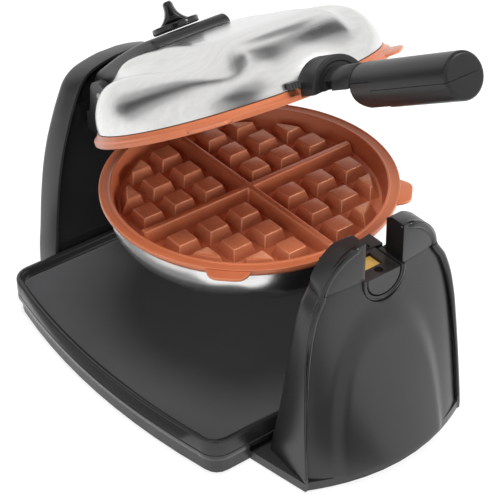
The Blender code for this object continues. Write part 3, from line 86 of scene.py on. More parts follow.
camera_data = bpy.data.cameras.new("camera")
camera_data.sensor_width = SENSOR
camera_data.lens = FOCAL_PIXELS / FRAME_PIXELS * SENSOR
camera_data.shift_x = 0.5 - CROP_CENTRE[0] / FRAME_PIXELS
camera_data.shift_y = CROP_CENTRE[1] / FRAME_PIXELS - 0.5
camera_data.clip_end = 20.0
camera = bpy.data.objects.new("camera", camera_data)
bpy.context.scene.collection.objects.link(camera)
turn_camera = Matrix((right, up, back)).transposed().to_4x4()
camera.matrix_world = Matrix.Translation(eye) @ turn_camera
bpy.context.scene.camera = camera
bpy.context.scene.view_settings.view_transform = "Standard"
print("lens %.1f mm, eye at %s" % (camera_data.lens, tuple(round(v, 2) for v in eye)))

# %% [markdown]
# ## Light and surroundings
# Soft studio light: a pale world all round, one large soft lamp overhead and weaker ones at
# the front left and on the right. Polished steel shows what stands round it, and a steel dome in an
# all-white room looks like paper. Photographers bend dark strips round the set, so this scene
# does too. They show in reflections only.

# %% World, lamps and dark strips
def light_path_any(nodes, links, sources):
    """One where any of these ray kinds is true."""
    path = nodes.new("ShaderNodeLightPath")
    total = path.outputs[sources[0]]
    for source in sources[1:]:
        most = nodes.new("ShaderNodeMath")
        most.operation = "MAXIMUM"
        links.new(total, most.inputs[0])
        links.new(path.outputs[source], most.inputs[1])
        total = most.outputs[0]
    return total


def make_world(ambient, seen):
    world = bpy.data.worlds.new("studio")
    bpy.context.scene.world = world
    world.use_nodes = True
    nodes, links = world.node_tree.nodes, world.node_tree.links
    background = nodes["Background"]
    background.inputs["Color"].default_value = (1.0, 1.0, 1.0, 1.0)
    level_mix = nodes.new("ShaderNodeMapRange")
    level_mix.inputs["To Min"].default_value = ambient
    level_mix.inputs["To Max"].default_value = seen
    links.new(light_path_any(nodes, links, ("Is Camera Ray", "Is Glossy Ray", "Is Transmission Ray")),
              level_mix.inputs["Value"])
    links.new(level_mix.outputs["Result"], background.inputs["Strength"])


def soft_lamp(name, place, size, power):
    data = bpy.data.lights.new(name, "AREA")
    data.shape = "DISK"
    data.size = size
    data.energy = power
    lamp = bpy.data.objects.new(name, data)
    lamp.location = place
    lamp.rotation_euler = (Vector((0.0, 0.0, 0.1)) - Vector(place)).to_track_quat("-Z", "Y").to_euler()
    lamp.visible_glossy = False
    bpy.context.scene.collection.objects.link(lamp)


def as_card(name, bm, tone):
    """Turns a mesh into a card of one brightness that shows in reflections alone."""
    mesh = bpy.data.meshes.new(name)
    bm.to_mesh(mesh)
    bm.free()
    card = bpy.data.objects.new(name, mesh)
    paper = bpy.data.materials.new(name)
    paper.use_nodes = True
    shader = paper.node_tree.nodes["Principled BSDF"]
    shader.inputs["Base Color"].default_value = (0.0, 0.0, 0.0, 1.0)
    shader.inputs["Specular IOR Level"].default_value = 0.0
    shader.inputs["Emission Color"].default_value = (tone, tone, tone, 1.0)
    shader.inputs["Emission Strength"].default_value = 1.0
    mesh.materials.append(paper)
    card.visible_camera = False
    card.visible_diffuse = False
    card.visible_shadow = False
    card.visible_transmission = False
    bpy.context.scene.collection.objects.link(card)


def grey_ribbon(name, path, tone, wider=1.0, reach=1.7):
    """A grey strip bent round the set; with a high tone it glows and puts painted highlights in reflections.

    The path lists bearing from the rear, height and half width, all in degrees.
    """
    bm = bmesh.new()
    rows = []
    for k, (bearing, rise, half) in enumerate(path):
        def outward(turn, lift):
            b, r = math.radians(bearing + turn), math.radians(rise + lift)
            return Vector((math.sin(b) * math.cos(r), math.cos(b) * math.cos(r), math.sin(r)))
        here = outward(0.0, 0.0)
        ahead = Vector(path[min(k + 1, len(path) - 1)][:2]) - Vector(path[max(k - 1, 0)][:2])
        step = ahead.normalized() * 0.5
        along = outward(step.x / max(0.1, math.cos(math.radians(rise))), step.y) - here
        aside = along.cross(here).normalized() * math.tan(math.radians(half * wider))
        rows.append([bm.verts.new(AXIS + (here + aside * side).normalized() * reach) for side in (-1, 0, 1)])
    for low, high in zip(rows, rows[1:]):
        for i in (0, 1):
            bm.faces.new((low[i], low[i + 1], high[i + 1], high[i]))
    as_card(name, bm, tone)


def floor_card(name, outline, tone):
    """A grey sheet just over the floor that shows in reflections alone: painted shade of the floor."""
    bm = bmesh.new()
    bm.faces.new([bm.verts.new((x, y, 0.0004)) for x, y in outline])
    as_card(name, bm, tone)


make_world(ambient=0.20, seen=1.0)
soft_lamp("top_lamp", (-0.22, -0.28, 1.7), 0.7, 34.0)
soft_lamp("front_lamp", (-1.2, -0.9, 0.9), 0.8, 7.0)
soft_lamp("fill_lamp", (1.5, -0.75, 0.35), 0.7, 30.0)
RIBBONS = {
    "left": [(-30, -6, 8), (-40, 10, 8), (-47, 28, 8), (-52, 45, 7), (-53, 60, 6), (-50, 74, 5)],
    "top": [(0, 78, 5), (40, 80, 7), (90, 81, 8), (170, 80, 6)],
    "right": [(80, 20, 5), (77, 32, 8), (79, 44, 9), (86, 55, 8), (96, 62, 4)],
    "front": [(-122, 42, 6), (-134, 38, 10), (-146, 31, 10), (-156, 25, 6)],
}
for name, path in RIBBONS.items():
    grey_ribbon("ribbon_" + name, path, 0.05)
    grey_ribbon("ribbon_%s_wide" % name, path, 0.48, wider=2.4, reach=1.8)
grey_ribbon("ribbon_back", [(35, 24, 7), (37, 36, 10), (40, 48, 8)], 0.26, reach=1.9)
# This strip glows: it lights nothing and shows in reflections alone, as painted highlights along the edges at
# the front right.
grey_ribbon("bright_front", [(136, 34, 4), (139, 40, 5), (142, 46, 4)], 12.0, reach=1.6)
# Grey sheets on the floor in front of the tower and beside the tray: painted floor shade, seen in reflections
# only.
floor_card("sheet_front", [(-0.10, -0.40), (0.0, -0.40), (0.0, -0.20), (-0.10, -0.20)], 0.12)
floor_card("sheet_corner", [(-0.36, -0.38), (-0.16, -0.38), (-0.16, -0.20), (-0.36, -0.20)], 0.04)
floor_card("sheet_left", [(-0.23, -0.06), (-0.135, -0.06), (-0.135, 0.24), (-0.23, 0.24)], 0.30)

# %% [markdown]
# The floor is a plain white sheet. It is partly its own light where the camera sees it, so
# it stays white to the horizon and still takes a soft shadow.

# %% Floor
FLOOR_OWN_LIGHT = 0.72


def make_floor():
    bm = bmesh.new()
    bmesh.ops.create_circle(bm, cap_ends=True, segments=64, radius=6.0)
    mesh = bpy.data.meshes.new("floor")
    bm.to_mesh(mesh)
    bm.free()
    floor = bpy.data.objects.new("floor", mesh)
    floor.location = (0.0, 0.0, -0.0002)
    bpy.context.scene.collection.objects.link(floor)
    sheet = bpy.data.materials.new("floor_sheet")
    sheet.use_nodes = True
    nodes, links = sheet.node_tree.nodes, sheet.node_tree.links
    shader = nodes["Principled BSDF"]
    shader.inputs["Base Color"].default_value = (0.93, 0.93, 0.93, 1.0)
    shader.inputs["Roughness"].default_value = 0.9
    shader.inputs["Specular IOR Level"].default_value = 0.0
    glow = nodes.new("ShaderNodeEmission")
    glow.inputs["Color"].default_value = (1.0, 1.0, 1.0, 1.0)
    glow.inputs["Strength"].default_value = 1.16
    mixed = nodes.new("ShaderNodeMixShader")
    share = nodes.new("ShaderNodeMath")
    share.operation = "MULTIPLY"
    share.inputs[1].default_value = FLOOR_OWN_LIGHT
    links.new(light_path_any(nodes, links, ("Is Camera Ray", "Is Glossy Ray", "Is Transmission Ray")),
              share.inputs[0])
    links.new(share.outputs[0], mixed.inputs["Fac"])
    links.new(shader.outputs["BSDF"], mixed.inputs[1])
    links.new(glow.outputs["Emission"], mixed.inputs[2])
    links.new(mixed.outputs["Shader"], nodes["Material Output"].inputs["Surface"])
    mesh.materials.append(sheet)


make_floor()

# %% [markdown]
# ## Shared surface effects
# Moulded plastic has a fine spark-eroded grain, brushed steel has long scratches, and every
# handled edge is a little brighter. Each of these is one node group with named inputs, placed
# in each material with that finish's own values. The groups give out masks, heights and
# colours only, and the shader stays in its material.

# %% A helper for node groups
def new_group(name, inputs, outputs):
    group = bpy.data.node_groups.new(name, "ShaderNodeTree")
    for title, kind, value in inputs:
        socket = group.interface.new_socket(title, in_out="INPUT", socket_type=kind)
        socket.default_value = value
    for title, kind in outputs:
        group.interface.new_socket(title, in_out="OUTPUT", socket_type=kind)
    start = group.nodes.new("NodeGroupInput")
    end = group.nodes.new("NodeGroupOutput")
    return group, start, end


def calculate(group, operation, first, second):
    node = group.nodes.new("ShaderNodeMath")
    node.operation = operation
    for socket, value in zip(node.inputs, (first, second)):
        if isinstance(value, (int, float)):
            socket.default_value = value
        else:
            group.links.new(value, socket)
    return node.outputs[0]


def noise(group, place, scale, detail=2.0, roughness=0.5):
    node = group.nodes.new("ShaderNodeTexNoise")
    node.inputs["Detail"].default_value = detail
    node.inputs["Roughness"].default_value = roughness
    group.links.new(place, node.inputs["Vector"])
    if isinstance(scale, (int, float)):
        node.inputs["Scale"].default_value = scale
    else:
        group.links.new(scale, node.inputs["Scale"])
    return node.outputs["Fac"]


def object_place(group):
    return group.nodes.new("ShaderNodeTexCoord").outputs["Object"]


# %% Moulded grain
grain, start, end = new_group(
    "Moulded grain",
    [("Grain scale", "NodeSocketFloat", 2600.0), ("Cloud scale", "NodeSocketFloat", 22.0)],
    [("Height", "NodeSocketFloat"), ("Cloud", "NodeSocketFloat")])
place = object_place(grain)
cells = grain.nodes.new("ShaderNodeTexVoronoi")
grain.links.new(place, cells.inputs["Vector"])
grain.links.new(start.outputs["Grain scale"], cells.inputs["Scale"])
soft_grain = noise(grain, place, start.outputs["Grain scale"], 1.0)
height = calculate(grain, "ADD", calculate(grain, "MULTIPLY", cells.outputs["Distance"], 0.6),
                   calculate(grain, "MULTIPLY", soft_grain, 0.4))
grain.links.new(height, end.inputs["Height"])
grain.links.new(noise(grain, place, start.outputs["Cloud scale"], 4.0, 0.6), end.inputs["Cloud"])

# %% Brushed lines
brushed, start, end = new_group(
    "Brushed lines",
    [("Line scale", "NodeSocketFloat", 900.0), ("Stretch", "NodeSocketFloat", 0.02)],
    [("Height", "NodeSocketFloat"), ("Tone", "NodeSocketFloat")])
place = object_place(brushed)
squeeze = brushed.nodes.new("ShaderNodeCombineXYZ")
brushed.links.new(start.outputs["Stretch"], squeeze.inputs["X"])
squeeze.inputs["Y"].default_value = 1.0
squeeze.inputs["Z"].default_value = 1.0
drawn = brushed.nodes.new("ShaderNodeVectorMath")
drawn.operation = "MULTIPLY"
brushed.links.new(place, drawn.inputs[0])
brushed.links.new(squeeze.outputs[0], drawn.inputs[1])
fine = noise(brushed, drawn.outputs[0], start.outputs["Line scale"], 3.0, 0.7)
brushed.links.new(fine, end.inputs["Height"])
wide = noise(brushed, drawn.outputs[0], calculate(brushed, "MULTIPLY", start.outputs["Line scale"], 0.22),
             3.0, 0.65)
brushed.links.new(wide, end.inputs["Tone"])

# %% Handled edges
edges, start, end = new_group(
    "Handled edges",
    [("From", "NodeSocketFloat", 0.52), ("To", "NodeSocketFloat", 0.62)],
    [("Mask", "NodeSocketFloat")])
geometry = edges.nodes.new("ShaderNodeNewGeometry")
ramp = edges.nodes.new("ShaderNodeMapRange")
edges.links.new(geometry.outputs["Pointiness"], ramp.inputs["Value"])
edges.links.new(start.outputs["From"], ramp.inputs["From Min"])
edges.links.new(start.outputs["To"], ramp.inputs["From Max"])
uneven = noise(edges, object_place(edges), 300.0, 3.0)
edges.links.new(calculate(edges, "MULTIPLY", ramp.outputs["Result"], uneven), end.inputs["Mask"])

# %% Dust and finger marks
marks, start, end = new_group(
    "Finger marks",
    [("Mark scale", "NodeSocketFloat", 35.0)],
    [("Mask", "NodeSocketFloat")])
blotch = noise(marks, object_place(marks), start.outputs["Mark scale"], 5.0, 0.7)
marks.links.new(calculate(marks, "POWER", blotch, 2.5), end.inputs["Mask"])
print("effects:", [g.name for g in bpy.data.node_groups])

# %% [markdown]
# ## Finishes
# One function sets up a Principled material. Plain numbers go straight on the shader's own
# sockets. Only what changes over the surface comes in through a node: the tone, the roughness
# and the bump.

# %% A helper for finishes
finishes = {}


def linear(red, green, blue):
    """Screen values from 0 to 255 as linear light."""
    def one(value):
        value /= 255.0
        return value / 12.92 if value <= 0.04045 else ((value + 0.055) / 1.055) ** 2.4
    return (one(red), one(green), one(blue), 1.0)


def start_finish(name, roughness, metallic=0.0, **settings):
    finish = bpy.data.materials.new(name)
    finish.use_nodes = True
    shader = finish.node_tree.nodes["Principled BSDF"]
    shader.inputs["Roughness"].default_value = roughness
    shader.inputs["Metallic"].default_value = metallic
    for title, value in settings.items():
        shader.inputs[title.replace("_", " ")].default_value = value
    finishes[name] = finish
    return finish, finish.node_tree, shader


def place_group(tree, group, **values):
    node = tree.nodes.new("ShaderNodeGroup")
    node.node_tree = group
    for title, value in values.items():
        node.inputs[title.replace("_", " ")].default_value = value
    return node


def mix_colours(tree, factor, dark, bright, shader):
    """Base colour between two tones, by a mask."""
    node = tree.nodes.new("ShaderNodeMix")
    node.data_type = "RGBA"
    tree.links.new(factor, node.inputs["Factor"])
    for socket, value in ((node.inputs[6], dark), (node.inputs[7], bright)):
        if isinstance(value, tuple):
            socket.default_value = value
        else:
            tree.links.new(value, socket)
    if shader is not None:
        tree.links.new(node.outputs[2], shader.inputs["Base Color"])
    return node.outputs[2]


def vary_roughness(tree, mask, low, high, shader):
    node = tree.nodes.new("ShaderNodeMapRange")
    node.inputs["To Min"].default_value = low
    node.inputs["To Max"].default_value = high
    tree.links.new(mask, node.inputs["Value"])
    tree.links.new(node.outputs["Result"], shader.inputs["Roughness"])


def add_bump(tree, height, depth, strength, shader):
    """Depth is the real height of the relief in metres."""
    node = tree.nodes.new("ShaderNodeBump")
    node.inputs["Strength"].default_value = strength
    node.inputs["Distance"].default_value = depth
    tree.links.new(height, node.inputs["Height"])
    tree.links.new(node.outputs["Normal"], shader.inputs["Normal"])


def plastic(name, dark, bright, roughness, grain_depth, grain_scale=2600.0, **settings):
    """Moulded plastic: cloudy tone, fine grain, edges a touch paler."""
    finish, tree, shader = start_finish(name, roughness, **settings)
    grained = place_group(tree, grain, Grain_scale=grain_scale)
    worn = place_group(tree, edges)
    clouded = mix_colours(tree, grained.outputs["Cloud"], dark, bright, None)
    paler = tuple(min(1.0, c * 1.7 + 0.006) for c in bright[:3]) + (1.0,)
    mix_colours(tree, worn.outputs["Mask"], clouded, paler, shader)
    vary_roughness(tree, grained.outputs["Cloud"], roughness - 0.06, roughness + 0.06, shader)
    add_bump(tree, grained.outputs["Height"], grain_depth, 0.6, shader)
    return finish


# %% [markdown]
# The towers, the arm and the handle are charcoal plastic with a satin grain. The dial and the
# inner panel of the rear tower are the same black but polished. The tray's floor is matt, so
# it pales softly from under the grids to its open edge.

# %% Black plastics
plastic("charcoal", linear(27, 27, 28), linear(35, 35, 36), 0.34, 0.00003)
plastic("charcoal_handle", linear(22, 22, 23), linear(29, 29, 30), 0.32, 0.00002, Specular_IOR_Level=0.34)
plastic("tray_satin", linear(58, 58, 59), linear(66, 66, 67), 0.44, 0.00002, 1800.0, Specular_IOR_Level=0.06)
plastic("tray_gloss", linear(20, 20, 21), linear(26, 26, 27), 0.20, 0.00001, 1800.0)
# A near-black, less shiny copy of the black for the cap walls that face the slot: painted shade in the slot.
plastic("slot_shade_black", linear(10, 10, 11), linear(14, 14, 15), 0.55, 0.00002, Specular_IOR_Level=0.15)
plastic("gloss_black", linear(14, 13, 14), linear(18, 17, 18), 0.12, 0.000002, 400.0)
plastic("pad_rubber", linear(30, 30, 30), linear(40, 40, 40), 0.8, 0.00005, 1500.0)
plastic("element_holder", linear(120, 84, 50), linear(150, 110, 72), 0.6, 0.00003)

# %% [markdown]
# The shells are brushed steel. Long fine lines run across them, a little uneven in tone, with
# faint finger marks that only change the roughness.

# %% Metals
def metal(name, dark, bright, roughness, line_scale, depth, **settings):
    finish, tree, shader = start_finish(name, roughness, metallic=1.0, **settings)
    lines = place_group(tree, brushed, Line_scale=line_scale)
    smudge = place_group(tree, marks)
    mix_colours(tree, lines.outputs["Tone"], dark, bright, shader)
    vary_roughness(tree, smudge.outputs["Mask"], roughness - 0.04, roughness + 0.10, shader)
    add_bump(tree, lines.outputs["Height"], depth, 0.5, shader)
    return finish


metal("brushed_shell", linear(212, 212, 211), linear(234, 233, 232), 0.26, 1100.0, 0.000012)
metal("plain_pin", linear(150, 149, 148), linear(176, 175, 174), 0.32, 700.0, 0.000006)
metal("black_screw", linear(52, 52, 54), linear(72, 72, 74), 0.38, 700.0, 0.000006)
metal("heater_tube", linear(70, 64, 60), linear(96, 88, 80), 0.5, 500.0, 0.00001)

# %% [markdown]
# The grids wear a copper-coloured ceramic coating: a warm orange-brown with a faint metallic
# flake, softer than bare metal.

# %% Copper ceramic and the amber lens
finish, tree, shader = start_finish("copper_ceramic", 0.36, metallic=0.35, Coat_Weight=0.25, Coat_Roughness=0.22)
flake = place_group(tree, grain, Grain_scale=5200.0, Cloud_scale=40.0)
pale_edge = place_group(tree, edges)
tone = mix_colours(tree, flake.outputs["Cloud"], linear(176, 96, 62), linear(198, 116, 79), None)
mix_colours(tree, pale_edge.outputs["Mask"], tone, linear(236, 172, 136), shader)
vary_roughness(tree, flake.outputs["Height"], 0.30, 0.44, shader)
add_bump(tree, flake.outputs["Height"], 0.00001, 0.4, shader)

finish, tree, shader = start_finish("amber_lens", 0.28, Transmission_Weight=0.15)
ripple = place_group(tree, grain, Grain_scale=900.0, Cloud_scale=60.0)
mix_colours(tree, ripple.outputs["Cloud"], linear(206, 160, 74), linear(228, 190, 104), shader)
add_bump(tree, ripple.outputs["Height"], 0.00004, 0.5, shader)
print("finishes:", sorted(finishes))

# %% [markdown]
# ## Mesh helpers
# Nearly every piece is a closed skin through a stack of rings: the shells, the tray, the
# towers and the handle. The other helpers turn a profile, cut one body with another, and
# round the edges so that they catch the light.

# %% Mesh helpers
def piece_from(name, bm, smooth=40.0):
    bmesh.ops.remove_doubles(bm, verts=bm.verts, dist=1e-7)
    bmesh.ops.recalc_face_normals(bm, faces=bm.faces)
    mesh = bpy.data.meshes.new(name)
    bm.to_mesh(mesh)
    bm.free()
    piece = bpy.data.objects.new(name, mesh)
    bpy.context.scene.collection.objects.link(piece)
    mesh.shade_smooth()
    mesh.set_sharp_from_angle(angle=math.radians(smooth))
    return piece


def ring_stack(name, rings, smooth=40.0, closed=False):
    """A skin through rings of as many points each; closed joins the last ring to the first."""
    bm = bmesh.new()
    rows = [[bm.verts.new(point) for point in ring] for ring in rings]
    count = len(rows[0])
    pairs = list(zip(rows, rows[1:]))
    if closed:
        pairs.append((rows[-1], rows[0]))
    for lower, upper in pairs:
        for i in range(count):
            j = (i + 1) % count
            bm.faces.new((lower[i], lower[j], upper[j], upper[i]))
    if not closed:
        bm.faces.new(rows[0][::-1])
        bm.faces.new(rows[-1])
    return piece_from(name, bm, smooth)


def circle(radius, height, segments, along="Z", flat=None):
    """Points of a ring; flat cuts off what would rise over that height."""
    points = []
    for i in range(segments):
        angle = 2 * math.pi * (i + 0.5) / segments
        u, v = radius * math.cos(angle), radius * math.sin(angle)
        if flat is not None:
            v = min(v, flat)
        points.append({"X": (height, u, v), "Y": (u, height, v), "Z": (u, v, height)}[along])
    return points


def turned(name, profile, segments, along="Z", closed=False, smooth=40.0):
    return ring_stack(name, [circle(r, h, segments, along) for r, h in profile], smooth, closed)


def box_piece(name, low, high):
    corners = [(low[0], low[1]), (high[0], low[1]), (high[0], high[1]), (low[0], high[1])]
    return ring_stack(name, [[(x, y, z) for x, y in corners] for z in (low[2], high[2])])


def boolean(piece, tool, operation="DIFFERENCE"):
    modifier = piece.modifiers.new("cut", "BOOLEAN")
    modifier.object = tool
    modifier.operation = operation
    modifier.solver = "EXACT"
    depsgraph = bpy.context.evaluated_depsgraph_get()
    mesh = bpy.data.meshes.new_from_object(piece.evaluated_get(depsgraph))
    piece.modifiers.clear()
    piece.data = mesh
    bpy.data.objects.remove(tool, do_unlink=True)
    return piece


def soften(piece, width, segments=2, angle=32.0):
    """Rounds the sharp edges and keeps the flats flat."""
    modifier = piece.modifiers.new("round", "BEVEL")
    modifier.width = width
    modifier.segments = segments
    modifier.limit_method = "ANGLE"
    modifier.angle_limit = math.radians(angle)
    modifier.use_clamp_overlap = True
    modifier.harden_normals = False
    depsgraph = bpy.context.evaluated_depsgraph_get()
    mesh = bpy.data.meshes.new_from_object(piece.evaluated_get(depsgraph))
    piece.modifiers.clear()
    piece.data = mesh
    mesh.shade_smooth()
    mesh.set_sharp_from_angle(angle=math.radians(50.0))
    return piece


def shift(piece, offset):
    piece.data.transform(Matrix.Translation(Vector(offset)))
    return piece


def spin(piece, degrees, axis):
    piece.data.transform(Matrix.Rotation(math.radians(degrees), 4, axis))
    return piece


def softened_copy(node, name, width, segments=2, angle=32.0):
    """A new piece of a solid's shape with rounded edges."""
    piece = bpy.data.objects.new(name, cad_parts[node].data.copy())
    bpy.context.scene.collection.objects.link(piece)
    return soften(piece, width, segments, angle)


def dress(piece, finish_name, body, slot, *nodes):
    """Finish, body and the solids this piece stands for."""
    piece.data.materials.clear()
    piece.data.materials.append(finishes[finish_name])
    for polygon in piece.data.polygons:
        polygon.material_index = 0
    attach(piece, body)
    if nodes:
        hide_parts(*nodes)
    print("%s: %d faces" % (piece.name, len(piece.data.polygons)))
    return piece


def second_finish(piece, finish_name, where):
    """Another finish on the faces that the test picks."""
    piece.data.materials.append(finishes[finish_name])
    for polygon in piece.data.polygons:
        if where(polygon.center, polygon.normal):
            polygon.material_index = 1


def through(table, t):
    """A smooth curve through a table of equal-length tuples, t from 0 to 1."""
    spans = len(table) - 1
    k = min(int(t * spans), spans - 1)
    u = t * spans - k
    p0 = table[max(k - 1, 0)]
    p1, p2 = table[k], table[k + 1]
    p3 = table[min(k + 2, spans)]
    return tuple(0.5 * (2 * b + (c - a) * u + (2 * a - 5 * b + 4 * c - d) * u * u
                        + (3 * b - a - 3 * c + d) * u ** 3) for a, b, c, d in zip(p0, p1, p2, p3))


def ease(low, high, value):
    t = min(1.0, max(0.0, (value - low) / (high - low)))
    return t * t * (3 - 2 * t)


def filleted(points, radius, steps=5, closed=True):
    """An outline with each corner rounded as far as its sides allow."""
    count = len(points)
    rounded = []
    for i, corner in enumerate(points):
        if not closed and i in (0, count - 1):
            rounded.append(tuple(corner))
            continue
        here = Vector(corner)
        before = Vector(points[i - 1]) - here
        after = Vector(points[(i + 1) % count]) - here
        reach = min(radius, before.length * 0.49, after.length * 0.49)
        start, end = here + before.normalized() * reach, here + after.normalized() * reach
        for k in range(steps + 1):
            t = k / steps
            rounded.append(tuple(start.lerp(here, t).lerp(here.lerp(end, t), t)))
    return rounded


def inset_outline(points, inset):
    """A closed outline moved inwards along its own normals."""
    count = len(points)
    area = sum(points[i][0] * points[(i + 1) % count][1] - points[(i + 1) % count][0] * points[i][1]
               for i in range(count))
    side = 1.0 if area > 0 else -1.0
    moved = []
    for i in range(count):
        here = Vector(points[i])
        first = (here - Vector(points[i - 1])).normalized()
        second = (Vector(points[(i + 1) % count]) - here).normalized()
        normal_a = Vector((-first.y, first.x)) * side
        normal_b = Vector((-second.y, second.x)) * side
        middle = (normal_a + normal_b).normalized()
        moved.append(tuple(here + middle * inset / max(middle.dot(normal_a), 0.35)))
    return moved


def slab(name, outline, along, start, end, smooth=40.0):
    """An outline pushed through along one axis."""
    def place(u, v, w):
        return {"X": (w, u, v), "Y": (u, w, v), "Z": (u, v, w)}[along]
    return ring_stack(name, [[place(u, v, w) for u, v in outline] for w in (start, end)], smooth)


def merged(name, pieces):
    """One piece out of several that lie in each other or apart."""
    bm = bmesh.new()
    for piece in pieces:
        bm.from_mesh(piece.data)
        bpy.data.objects.remove(piece, do_unlink=True)
    mesh = bpy.data.meshes.new(name)
    bm.to_mesh(mesh)
    bm.free()
    whole = bpy.data.objects.new(name, mesh)
    bpy.context.scene.collection.objects.link(whole)
    mesh.shade_smooth()
    mesh.set_sharp_from_angle(angle=math.radians(50.0))
    return whole


def swept(name, path, radii, segments=10):
    """A round bead along a path."""
    rings = []
    for i, point in enumerate(path):
        here = Vector(point)
        ahead = (Vector(path[min(i + 1, len(path) - 1)]) - Vector(path[max(i - 1, 0)])).normalized()
        across = ahead.cross(Vector((0.0, 1.0, 0.0))).normalized()
        outward = across.cross(ahead)
        ring = []
        for k in range(segments):
            angle = 2 * math.pi * k / segments
            ring.append(tuple(here + (across * math.cos(angle) + outward * math.sin(angle)) * radii[i]))
        rings.append(ring)
    return ring_stack(name, rings)


def place_half(piece, upper):
    """Puts a piece that looks down on the flip axis, or turned over on the open lid."""
    if upper:
        spin(piece, 180.0, "Y")
    shift(piece, AXIS)
    if upper:
        piece.data.transform(open_lid)
    return piece


def rod_piece(name, radius, start, end, along, segments=48, edge=0.0):
    profile = [(radius - edge, start), (radius, start + edge), (radius, end - edge), (radius - edge, end)]
    if edge == 0.0:
        profile = [(radius, start), (radius, end)]
    return turned(name, profile, segments, along)


HALVES = (("lower", "iron", False), ("upper", "lid", True))
print("helpers ready")

# %% [markdown]
# ## Steel shells
# Each shell is one pressed sheet. A raised band runs from front to rear over its back, with a
# long hollow along each side. Both halves
# come from one function that looks down, and the upper one is turned over and laid open.

# %% Steel shells
JOINT = 0.0084
SHELL_RADIUS, SHELL_DEPTH, SHEET = 0.1005, 0.0370, 0.0012
SHELL_TABLE = [(1.0, 0.0), (0.993, 0.2), (0.967, 0.41), (0.924, 0.60), (0.853, 0.78),
               (0.743, 0.905), (0.55, 0.975), (0.30, 0.995), (0.12, 1.0), (0.003, 1.0)]
BAND_RISE, GROOVE = 0.0034, 0.0030
WINDOW_ASIDE, WINDOW_HALF, WINDOW_RISE = 0.0245, 0.0023, 0.00155
RIM = 0.105


def shell_relief(x, y, depth_share):
    """Height of the band over the dome, less the hollow beside it.

    The band is widest at the hinge, and the hollow draws in to it towards the handle.
    """
    side = abs(x)
    edge = 0.0385 + 0.0080 * ease(0.0, 0.070, y)
    foot = 0.0660 - 0.0150 * ease(-0.020, -0.085, y)
    rise = BAND_RISE * ease(0.30, 0.95, depth_share) * (1 - ease(edge - 0.003, edge + 0.009, side))
    hollow = ease(edge, foot, side) * (1 - ease(foot, foot + 0.016, side))
    return rise - GROOVE * hollow * ease(0.35, 0.80, depth_share)


def shell_ring(t, inward, segments=160):
    radius_share, depth_share = through(SHELL_TABLE, t)
    flat = depth_share ** 2
    radius = SHELL_RADIUS * radius_share - inward * (1 - flat * 0.5)
    depth = SHELL_DEPTH * depth_share - inward * flat
    ring = []
    for i in range(segments):
        angle = 2 * math.pi * i / segments
        x, y = max(radius, 0.0002) * math.cos(angle), max(radius, 0.0002) * math.sin(angle)
        ring.append((x, y, -JOINT - depth - shell_relief(x, y, depth_share)))
    return ring


def shell_piece(name):
    steps = [k / 52 for k in range(53)]
    rings = [shell_ring(t, 0.0) for t in reversed(steps)] + [shell_ring(t, SHEET) for t in steps]
    shell = ring_stack(name, rings, 60.0)
    middle = -JOINT - GAP - 0.00225
    window = box_piece("window", (-WINDOW_HALF, -RIM, middle - WINDOW_RISE),
                       (WINDOW_HALF, -RIM * 0.92, middle + WINDOW_RISE))
    spin(window, math.degrees(math.asin(WINDOW_ASIDE / RIM)), "Z")
    boolean(shell, window)
    shell.data.shade_smooth()
    shell.data.set_sharp_from_angle(angle=math.radians(50.0))
    return shell


for label, body, upper in HALVES:
    shell = place_half(shell_piece(label + "_shell_skin"), upper)
    dress(shell, "brushed_shell", body, "brushed_steel", label + "_shell")

# %% [markdown]
# ## Cooking grids
# A grid is a shallow round pan with a broad rim. Tapered studs stand in four quarters,
# trimmed to the round field, with a raised cross between them. Two flat finger tabs stick
# out of the rim so that the grid can be lifted out.

# %% Cooking grids
CAVITY, CAVITY_DEPTH, GRID_WALL, MATING = 0.0965, 0.0145, 0.0022, 0.0006
STUD_FIRST, STUD_PITCH, STUD_BASE, STUD_TOP, STUD_HEIGHT = 0.0205, 0.026, 0.0098, 0.0072, 0.009
FIELD, FIELD_LEAST = 0.0885, 0.0075
CROSS_BASE, CROSS_TOP, CROSS_HEIGHT, CROSS_LENGTH = 0.0046, 0.0022, 0.0105, 0.0925
TAB_HALF, TAB_REACH, TAB_THICK, TAB_TIP = 0.018, 0.0085, 0.0022, 0.62


def block(name, x, y, half_x, half_y, slope, low, high):
    """A tapered block between two heights."""
    rings = []
    for inset, z in ((0.0, low), (slope, high)):
        a, b = half_x - inset, half_y - inset
        rings.append([(x - a, y - b, z), (x + a, y - b, z), (x + a, y + b, z), (x - a, y + b, z)])
    return ring_stack(name, rings)


def stud_pieces():
    base, top = -CAVITY_DEPTH - 0.0008, -CAVITY_DEPTH + STUD_HEIGHT
    slope = (STUD_BASE - STUD_TOP) * (top - base) / STUD_HEIGHT
    places = [STUD_FIRST + STUD_PITCH * i for i in range(3)]
    studs = []
    for x in places:
        for y in places:
            if math.hypot(x - STUD_TOP, y - STUD_TOP) > FIELD - FIELD_LEAST:
                continue
            for sx in (-1, 1):
                for sy in (-1, 1):
                    studs.append(block("stud", x * sx, y * sy, STUD_TOP + slope, STUD_TOP + slope,
                                       slope, base, top))
    field = merged("studs", studs)
    ends = STUD_BASE - STUD_TOP
    cone = turned("field", [(FIELD + ends, base - 0.001), (FIELD + ends, base), (FIELD - ends, top),
                            (FIELD - ends, top + 0.001)], 160)
    boolean(field, cone, "INTERSECT")
    return soften(field, 0.0013, 3)


